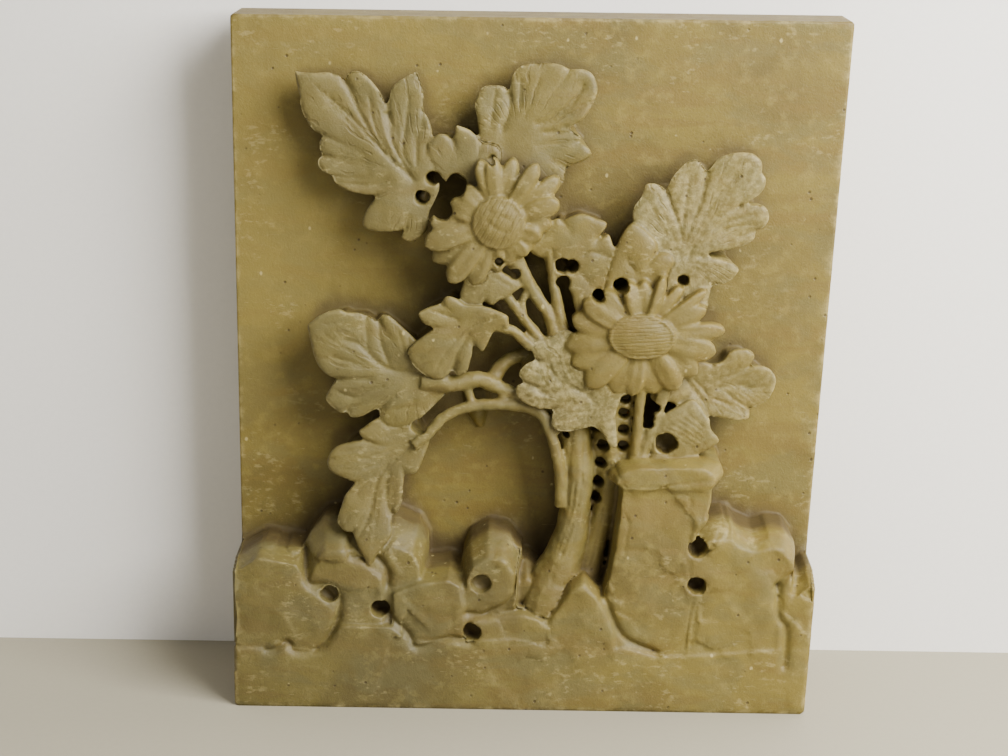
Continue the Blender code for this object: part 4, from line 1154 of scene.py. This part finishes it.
def sculpt(stone, forms):
    """Hewn rock, swelling leaves and every cut, moved into the even mesh."""
    names = list(forms)
    places = read_places(stone.data)
    store(stone.data, "blank", "FLOAT_VECTOR", places)
    normals = read_normals(stone.data)
    x, z, rise = on_grid(places)
    front = np.flatnonzero((rise > 0.4) & (places[:, 1] < PANEL_FACE))
    owner = np.full(len(places), -1)
    owner[front] = forms_near(forms, places[front], 0.8 * MM)
    is_rock = np.isin(owner, [number for number, name in enumerate(names) if name in ROCKS])
    is_wood = np.isin(owner, [number for number, name in enumerate(names) if name in STEMS])
    rocks = np.flatnonzero(is_rock)
    depth = hewn(places[rocks], 9.0, 0.026, 3) + 0.32 * MM * wander(places[rocks], 5.0, 1)
    depth += 0.11 * MM * wander(places[rocks], 1.9, 2)
    depth *= 0.35 + 0.65 * np.clip((z[rocks] - 9) / 12, 0, 1)
    places[rocks] += normals[rocks] * np.clip(depth, -0.9 * MM, 0.4 * MM)[:, None]
    wood = np.flatnonzero(is_wood)
    places[wood] += normals[wood] * (0.16 * MM * wander(places[wood], 1.4, 4))[:, None]
    rest = np.flatnonzero((owner >= 0) & ~is_rock & ~is_wood)
    places[rest] += normals[rest] * (0.09 * MM * wander(places[rest], 1.8, 5))[:, None]
    for number, name in enumerate(names):
        if name in LEAVES:
            top = np.flatnonzero((owner == number) & (normals[:, 1] < -0.3))
            points = np.column_stack((x[top], z[top]))
            places[top, 1] -= leaf_swell(name, LEAVES[name], points) * MM
    engrave(places, normals, owner, names)
    flatten_sides(places)
    write_places(stone.data, places)


def split_long_edges(shape):
    """Halves the long edges of all but the back, longest first, each with a cut to the corners beside it."""
    back = BLOCK_HIGH.y - VOXEL
    for _ in range(SPLIT_ROUNDS):
        long_edges = [
            edge for edge in shape.edges
            if edge.calc_length() > LONGEST_EDGE * MM and all(vert.co.y < back for vert in edge.verts)
        ]
        for edge in sorted(long_edges, key=bmesh.types.BMEdge.calc_length, reverse=True):
            faces = list(edge.link_faces)
            corners = [next(vert for vert in face.verts if vert not in edge.verts) for face in faces]
            middle = bmesh.utils.edge_split(edge, edge.verts[0], 0.5)[1]
            for face, corner in zip(faces, corners):
                bmesh.utils.face_split(face, middle, corner)


def thin_out(stone):
    """Takes faces out where the stone is flat, then splits the face's long ones so that dirt and painted
    shade can fade.
    """
    count = sum(len(face.vertices) - 2 for face in stone.data.polygons)
    modifier = stone.modifiers.new("thin out", "DECIMATE")
    modifier.ratio = min(1.0, TRIANGLES / count)
    apply_modifiers(stone)
    shape = bmesh.new()
    shape.from_mesh(stone.data)
    bmesh.ops.triangulate(shape, faces=shape.faces)
    split_long_edges(shape)
    shape.to_mesh(stone.data)
    shape.free()
    write_places(stone.data, np.clip(read_places(stone.data), BLOCK_LOW, BLOCK_HIGH))


def sample(field, x, z):
    """A map's values at grid places."""
    column = np.clip(x / MAP_STEP + field.shape[1] / 2 - 0.5, 0, field.shape[1] - 1.001)
    row = np.clip(z / MAP_STEP - 0.5, 0, field.shape[0] - 1.001)
    left, low = column.astype(int), row.astype(int)
    across, up = column - left, row - low
    bottom = field[low, left] * (1 - across) + field[low, left + 1] * across
    top = field[low + 1, left] * (1 - across) + field[low + 1, left + 1] * across
    return bottom * (1 - up) + top * up


def rise_map(stone):
    """The rise of what shows from the front, cell by cell."""
    tree = BVHTree.FromObject(stone, bpy.context.evaluated_depsgraph_get())
    columns, rows = MAP_CELLS
    field = np.zeros((rows, columns))
    for row in range(rows):
        for column in range(columns):
            x = (column + 0.5 - columns / 2) * MAP_STEP
            start = at(x, (row + 0.5) * MAP_STEP, 30.0)
            hit = tree.ray_cast(start, Vector((0, 1, 0)))[0]
            if hit is not None:
                field[row, column] = (PANEL_FACE - hit.y) / MM
    return field


def surroundings(relief, x, z, rise, radii, limit):
    """How far the stone about each place stands above it, as a share of a limit: below 0 on ridges."""
    total = np.zeros(len(x))
    for radius in radii:
        for step in range(RING_STEPS):
            turn = 2 * math.pi * step / RING_STEPS
            around = sample(relief, x + radius * math.cos(turn), z + radius * math.sin(turn))
            total += np.clip(around - rise, -limit, limit)
    return total / (RING_STEPS * len(radii) * limit)


def store(mesh, name, kind, values):
    """A vertex attribute for the material to read."""
    attribute = mesh.attributes.new(name, kind, "POINT")
    key = "value" if kind == "FLOAT" else "vector"
    attribute.data.foreach_set(key, np.ascontiguousarray(values, dtype=np.float32).ravel())


def edge_nearness(places):
    """How near each place is to one of the block's own long edges, from 0 to 1."""
    x, y, z = places.T
    front = np.where(z > FOOT_TOP * MM, PANEL_FACE, BLOCK_LOW.y)
    gaps = np.abs(np.column_stack((
        x - BLOCK_LOW.x, right_edge(z) - x, z - BLOCK_LOW.z, BLOCK_HIGH.z - z, BLOCK_HIGH.y - y, y - front,
    )))
    gaps.sort(axis=1)
    return np.exp(-((gaps[:, 0] ** 2 + gaps[:, 1] ** 2) / (BLOCK_ROUND * MM) ** 2))


def record_wear(stone, forms):
    """Stores where dirt and painted shade gather and where hands rub and painted highlights fall, how warm
    the stone is and where the graver's lines run.
    """
    names = list(forms)
    mesh = stone.data
    places = read_places(mesh)
    x, z, rise = on_grid(places)
    relief = rise_map(stone)
    outer = rise < -0.3
    close = surroundings(relief, x, z, rise, (0.5, 1.0), 1.0)
    # Hollow: tight creases and the foot of walls, which take soot and painted shade
    hollow = np.clip(close * 1.3, 0, 1)
    # Ridges: pale wear with a painted highlight
    rubbed = np.clip(close * -1.1, 0, 1)
    # Shelter: dirt and painted shade where the stone round a place stands higher
    shelter = np.clip(surroundings(relief, x, z, rise, (2.0, 4.0, 6.5), 6.0) * 1.6, 0, 1)
    for values in (hollow, shelter, rubbed):
        values[outer] = 0
    facing_up = np.clip(read_normals(mesh)[:, 2] * 1.4, 0, 1)
    # Faces looking up on the low rocks and on the block's top darken as well: dirt and painted shade
    shelter = np.maximum(shelter, facing_up * np.clip((12.5 - rise) / 7, 0, 1) * (z < ROCK_TOPS) * ~outer)
    shelter = np.maximum(shelter, facing_up * (z > TOP_FACE))
    for bruise_x, bruise_z, size in BRUISES:
        away = (x - bruise_x) ** 2 + (z - bruise_z) ** 2
        rubbed = np.maximum(rubbed, 1.6 * np.exp(-away / size**2) * ~outer)
    store(mesh, "hollow", "FLOAT", hollow)
    store(mesh, "shelter", "FLOAT", shelter)
    # Ridges, bruises and the block's long edges: pale wear, with painted highlights on the ridges and edges
    store(mesh, "rubbed", "FLOAT", np.maximum(rubbed, edge_nearness(places)))
    blank = np.empty(len(places) * 3, dtype=np.float32)
    mesh.attributes["blank"].data.foreach_get("vector", blank)
    mesh.attributes.remove(mesh.attributes["blank"])
    owner = np.full(len(places), -1)
    front = np.flatnonzero(rise > 0.4)
    owner[front] = forms_near(forms, blank.reshape(-1, 3)[front].astype(float), 1.0 * MM)
    tones = [next((tone for key, tone in WARMTH.items() if name.startswith(key)), 0.5) for name in names]
    warmth = np.array([*tones, 0.5])
    store(mesh, "warmth", "FLOAT", warmth[owner])
    lines = np.zeros((len(places), 3))
    for number, name in enumerate(names):
        chosen = np.flatnonzero(owner == number)
        points = np.column_stack((x[chosen], z[chosen]))
        if name in LEAVES and LEAVES[name]["lines"]:
            lines[chosen, :2] = points - np.array(LEAVES[name]["heart"])
            lines[chosen, 2] = LEAVES[name]["lines"]
        flower_name = name.removesuffix("_disc")
        if flower_name != name:
            plan = FLOWERS[flower_name]
            turn = math.radians(plan["hatch"])
            along = np.array((-math.sin(turn), math.cos(turn)))
            lines[chosen, 0] = (points - np.array(plan["centre"])) @ along / plan["pitch"]
            lines[chosen, 2] = -1
    store(mesh, "graver", "FLOAT_VECTOR", lines)


class Wire:
    """A shader socket that does arithmetic by adding Math nodes."""

    def __init__(self, tree, socket):
        self.tree = tree
        self.socket = socket

    def join(self, operation, *others, flipped=False):
        values = [self, *others]
        if flipped:
            values.reverse()
        return self.tree.add("ShaderNodeMath", {"operation": operation}, dict(enumerate(values)))["Value"]

    def __add__(self, other):
        return self.join("ADD", other)

    def __radd__(self, other):
        return self.join("ADD", other, flipped=True)

    def __sub__(self, other):
        return self.join("SUBTRACT", other)

    def __rsub__(self, other):
        return self.join("SUBTRACT", other, flipped=True)

    def __mul__(self, other):
        return self.join("MULTIPLY", other)

    def __rmul__(self, other):
        return self.join("MULTIPLY", other, flipped=True)

    def __pow__(self, other):
        return self.join("POWER", other)


class Recipe:
    """The nodes of one material."""

    def __init__(self, name):
        self.material = bpy.data.materials.new(name)
        self.material.use_nodes = True
        self.nodes = self.material.node_tree.nodes
        self.links = self.material.node_tree.links
        self.nodes.clear()

    def add(self, kind, settings=None, inputs=None):
        """A node of a kind. Its outputs come back by name."""
        node = self.nodes.new(kind)
        for key, value in (settings or {}).items():
            setattr(node, key, value)
        for key, value in (inputs or {}).items():
            if isinstance(value, Wire):
                self.links.new(value.socket, node.inputs[key])
            else:
                node.inputs[key].default_value = value
        return {output.name: Wire(self, output) for output in node.outputs if output.enabled}

    def noise(self, vector, scale, detail=3.0, roughness=0.5, distortion=0.0):
        """Noise from 0 to 1, with patches of about 1 / scale."""
        return self.add("ShaderNodeTexNoise", {"noise_dimensions": "3D"}, {
            "Vector": vector, "Scale": scale, "Detail": detail, "Roughness": roughness,
            "Distortion": distortion,
        })["Fac"]

    def spots(self, vector, scale, low, high):
        """Round spots, 1 in their middle, scattered one to a cell."""
        inputs = {"Vector": vector, "Scale": scale, "Randomness": 1.0}
        return self.fade(self.add("ShaderNodeTexVoronoi", {}, inputs)["Distance"], high, low)

    def fade(self, value, low, high):
        """Runs smoothly from 0 at low to 1 at high."""
        settings = {"interpolation_type": "SMOOTHSTEP", "clamp": True}
        if low > high:
            return 1 - self.fade(value, high, low)
        inputs = {"Value": value, "From Min": low, "From Max": high}
        return self.add("ShaderNodeMapRange", settings, inputs)["Result"]

    def blend(self, factor, first, second, mode="MIX"):
        """Mixes two colours."""
        settings = {"data_type": "RGBA", "blend_type": mode, "clamp_factor": True}
        node = self.nodes.new("ShaderNodeMix")
        for key, value in settings.items():
            setattr(node, key, value)
        for index, value in ((0, factor), (6, first), (7, second)):
            if isinstance(value, Wire):
                self.links.new(value.socket, node.inputs[index])
            else:
                node.inputs[index].default_value = value if index == 0 else (*value, 1.0)
        return Wire(self, node.outputs[2])

    def attribute(self, name, output="Fac"):
        """A vertex attribute."""
        settings = {"attribute_name": name, "attribute_type": "GEOMETRY"}
        return self.add("ShaderNodeAttribute", settings)[output]

    def millimetres(self, stretch=(1, 1, 1), turn=0.0):
        """Object coordinates in grid units, stretched and turned in the plane of the face."""
        place = self.add("ShaderNodeTexCoord")["Object"]
        inputs = {"Vector": place, "Scale": tuple(part / MM for part in stretch), "Rotation": (0, turn, 0)}
        return self.add("ShaderNodeMapping", {"vector_type": "POINT"}, inputs)["Vector"]


def soapstone():
    """Olive-cream soapstone: clouded, faintly veined, dirty in its hollows with painted shade there, pale
    where rubbed or scraped with painted highlights on ridges and edges, and with painted light and shade
    across the face.
    """
    recipe = Recipe("soapstone")
    place = recipe.millimetres()
    hollow = recipe.attribute("hollow")
    shelter = recipe.attribute("shelter")
    rubbed = recipe.attribute("rubbed")
    warmth = recipe.attribute("warmth")

    clouds = recipe.noise(place, 0.045, 3.0, 0.55, 0.6)
    veins = recipe.noise(recipe.millimetres((0.16, 1, 1), 0.10), 0.22, 3.0, 0.6, 0.4)
    mottle = recipe.noise(place, 0.35, 4.0, 0.65)
    grain = recipe.noise(place, 2.4, 3.0, 0.6)
    smear = recipe.noise(place, 0.13, 2.0, 0.6, 0.8)
    patches = recipe.noise(recipe.millimetres((0.5, 1, 1), 0.15), 0.13, 3.0, 0.62, 0.5)

    base = recipe.blend(recipe.fade(clouds, 0.28, 0.62), OLIVE, CREAM)
    base = recipe.blend(recipe.fade(veins, 0.47, 0.62) * 0.7, base, OCHRE)
    base = recipe.blend(recipe.fade(patches, 0.46, 0.62) * 0.60, base, ASH)
    base = recipe.blend(recipe.fade(mottle, 0.50, 0.70) * 0.55, base, PALE)
    base = recipe.blend(recipe.fade(warmth, 0.5, 1.0) * 0.5, base, HONEY)
    base = recipe.blend(recipe.fade(warmth, 0.5, 0.0) * 0.5, base, ASH)
    base = recipe.blend(recipe.fade(grain, 0.45, 0.70) * 0.30, base, SHADE)

    spread = recipe.add("ShaderNodeSeparateXYZ", {}, {"Vector": place})
    # Painted light: paler towards the upper left
    painted_light_upper_left = recipe.fade(spread["X"], 12.0, -52.0) * recipe.fade(spread["Z"], 40.0, 95.0)
    base = recipe.blend(painted_light_upper_left * 0.42, base, PALE)
    # Painted shade: the raised forms darker, the more so towards the left
    raised_painted_shade = recipe.fade(spread["Y"], 0.0, -7.0) * recipe.fade(spread["X"], 64.0, -46.0)
    base = recipe.blend(raised_painted_shade * 0.66, base, RAISED_SHADE_TINT, "MULTIPLY")

    # Pale wear on ridges and edges, with painted highlights there
    wear_and_sheen = recipe.fade(rubbed, 0.15, 0.9) * recipe.fade(mottle, 0.42, 0.66) * (1.15 - warmth)
    base = recipe.blend(wear_and_sheen * 0.50, base, SCRAPED_AND_SHEEN)
    scraped = recipe.fade(warmth, 0.34, 0.12) * recipe.fade(recipe.noise(place, 0.8, 2.0, 0.7), 0.36, 0.68)
    base = recipe.blend(scraped * 0.34, base, SCRAPED_AND_SHEEN)
    scuffs = recipe.fade(recipe.noise(recipe.millimetres((0.5, 1, 1), 0.4), 0.9, 2.0, 0.7), 0.55, 0.70)
    scuffs = scuffs * recipe.fade(recipe.noise(place, 0.06, 1.0), 0.48, 0.62)
    base = recipe.blend(scuffs * 0.24, base, SCRAPED_AND_SHEEN)
    # Dirt and painted shade in sheltered places, heavier towards the bottom
    grime_and_shade = 0.05 + smear + 0.6 * recipe.fade(spread["Z"], 60.0, 38.0)
    dirt_and_shade = recipe.fade(shelter, 0.12, 0.95) * grime_and_shade
    base = recipe.blend(dirt_and_shade * 0.80, base, DUST_AND_SHADE)
    # Soot and painted shade in tight hollows
    soot_and_shade = recipe.fade(hollow, 0.18, 1.0) * (0.10 + 0.45 * mottle)
    base = recipe.blend(soot_and_shade, base, SOOT_AND_SHADE)

    dots = recipe.spots(place, 0.33, 0.06, 0.14) * recipe.fade(recipe.noise(place, 0.21, 1.0), 0.52, 0.60)
    base = recipe.blend(dots * 0.75, base, SOOT_AND_SHADE)
    flecks = recipe.spots(recipe.millimetres((1, 1, 0.7), 0.6), 0.27, 0.05, 0.12)
    flecks = flecks * recipe.fade(recipe.noise(place, 0.33, 1.0), 0.55, 0.62)
    base = recipe.blend(flecks * 0.6, base, SCRAPED_AND_SHEEN)

    lines = recipe.add("ShaderNodeSeparateXYZ", {}, {"Vector": recipe.attribute("graver", "Vector")})
    turn = lines["Y"].join("ARCTAN2", lines["X"])
    wave = (turn * lines["Z"] + recipe.noise(place, 0.25, 2.0) * 7.0).join("COSINE")
    on_leaf = recipe.fade(lines["Z"], 0.5, 5.0)
    from_heart = (lines["X"] * lines["X"] + lines["Y"] * lines["Y"]) ** 0.5
    on_leaf = on_leaf * recipe.fade(from_heart, 3.0, 10.0)
    on_leaf = on_leaf * recipe.fade(recipe.noise(place, 0.3, 2.0), 0.45, 0.65)
    leaf_lines = recipe.fade(wave, 0.5, 1.0) * on_leaf
    hatch_wave = (lines["X"] * 6.283 + recipe.noise(place, 0.5, 2.0) * 3.0).join("COSINE")
    on_disc = recipe.fade(lines["Z"], -0.2, -0.9) * recipe.fade(recipe.noise(place, 0.6, 2.0), 0.3, 0.5)
    hatching = recipe.fade(hatch_wave, 0.1, 1.0) * on_disc
    scratches = recipe.noise(recipe.millimetres((0.12, 1, 1.6), 0.5), 2.2, 2.0, 0.5, 1.2)
    scratch = recipe.fade(scratches, 0.70, 0.76) * recipe.fade(recipe.noise(place, 0.09, 1.0), 0.5, 0.6)
    base = recipe.blend(scratch * 0.25, base, SCRAPED_AND_SHEEN)
    # Painted shade darkens the graver's lines and the disc's hatching
    base = recipe.blend((leaf_lines + hatching) * 0.22, base, SHADE)

    height = grain * 0.08 + mottle * 0.14 + scratch * -0.06 + leaf_lines * -0.09 + hatching * -0.05
    height = height + dots * -0.1 + recipe.noise(place, 5.5, 2.0, 0.6) * 0.02
    bump = recipe.add("ShaderNodeBump", {}, {"Strength": 0.9, "Distance": MM, "Height": height})["Normal"]
    roughness = 0.56 - wear_and_sheen * 0.12 + dirt_and_shade * 0.14 + soot_and_shade * 0.16 + (mottle - 0.5) * 0.2
    shader = recipe.add("ShaderNodeBsdfPrincipled", {}, {
        "Base Color": base, "Roughness": roughness, "Normal": bump, "Specular IOR Level": 0.38,
        "Subsurface Weight": 0.15, "Subsurface Radius": (1.0, 0.75, 0.40), "Subsurface Scale": 1.5 * MM,
        "Coat Weight": 0.04, "Coat Roughness": 0.35,
    })["BSDF"]
    recipe.add("ShaderNodeOutputMaterial", {}, {"Surface": shader})
    return recipe.material


def plain_paint(name, colour, roughness):
    """A matt studio surface with a faint grain."""
    recipe = Recipe(name)
    place = recipe.millimetres()
    grain = recipe.noise(place, 0.8, 3.0)
    paint = recipe.blend(grain, colour, tuple(part * 0.94 for part in colour))
    inputs = {"Base Color": paint, "Roughness": roughness}
    shader = recipe.add("ShaderNodeBsdfPrincipled", {}, inputs)["BSDF"]
    recipe.add("ShaderNodeOutputMaterial", {}, {"Surface": shader})
    return recipe.material


def studio():
    """A pale floor and wall, a soft key light from the upper right, and a weak fill."""
    floor = bmesh.new()
    bmesh.ops.create_grid(floor, x_segments=1, y_segments=1, size=1.5)
    floor_piece = new_object("studio_floor", floor)
    wall = bmesh.new()
    bmesh.ops.create_grid(wall, x_segments=1, y_segments=1, size=1.5)
    upright = Matrix.Rotation(math.radians(90), 3, "X")
    bmesh.ops.rotate(wall, verts=wall.verts, cent=(0, 0, 0), matrix=upright)
    bmesh.ops.translate(wall, verts=wall.verts, vec=(0, WALL_PLACE, 1.5))
    wall_piece = new_object("studio_wall", wall)
    floor_piece.data.materials.append(plain_paint("floor_paint", FLOOR_PAINT, 0.7))
    wall_piece.data.materials.append(plain_paint("wall_paint", WALL_PAINT, 0.8))

    for name, place, size, energy, colour in LAMPS:
        light = bpy.data.lights.new(name, "AREA")
        light.shape = "SQUARE"
        light.size = size
        light.energy = energy
        light.color = colour
        lamp = bpy.data.objects.new(name, light)
        lamp.location = place
        lamp.rotation_euler = (Vector((0, 0, 0.07)) - Vector(place)).to_track_quat("-Z", "Y").to_euler()
        bpy.context.scene.collection.objects.link(lamp)

    world = bpy.data.worlds.new("studio_air")
    world.use_nodes = True
    background = world.node_tree.nodes["Background"]
    background.inputs["Color"].default_value = AIR_COLOUR
    background.inputs["Strength"].default_value = AIR
    bpy.context.scene.world = world


def photo_camera():
    """The camera at the photograph's place, with its lens and turns."""
    pitch, yaw, roll = (math.radians(angle) for angle in (CAMERA_PITCH, CAMERA_YAW, CAMERA_ROLL))
    ahead = Vector((math.sin(yaw) * math.cos(pitch), math.cos(yaw) * math.cos(pitch), -math.sin(pitch)))
    right = Vector((math.cos(yaw), -math.sin(yaw), 0))
    down = ahead.cross(right)
    turned_right = math.cos(roll) * right + math.sin(roll) * down
    turned_up = math.sin(roll) * right - math.cos(roll) * down
    data = bpy.data.cameras.new("photo_camera")
    data.sensor_width = SENSOR
    data.lens = FOCAL_PIXELS * SENSOR / PHOTO_SIZE[0]
    data.clip_start = 0.01
    camera = bpy.data.objects.new("photo_camera", data)
    turn = Matrix((turned_right, turned_up, -ahead)).transposed()
    camera.matrix_world = Matrix.Translation(at(*CAMERA_PLACE)) @ turn.to_4x4()
    bpy.context.scene.collection.objects.link(camera)
    bpy.context.scene.camera = camera


def main():
    stone, forms = rough_out()
    sculpt(stone, forms)
    thin_out(stone)
    record_wear(stone, forms)
    for form in forms.values():
        bpy.data.objects.remove(form, do_unlink=True)
    for face in stone.data.polygons:
        face.use_smooth = True
    stone.data.materials.clear()
    stone.data.materials.append(soapstone())
    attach(stone, "root")
    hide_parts("plaque")
    studio()
    photo_camera()


main()
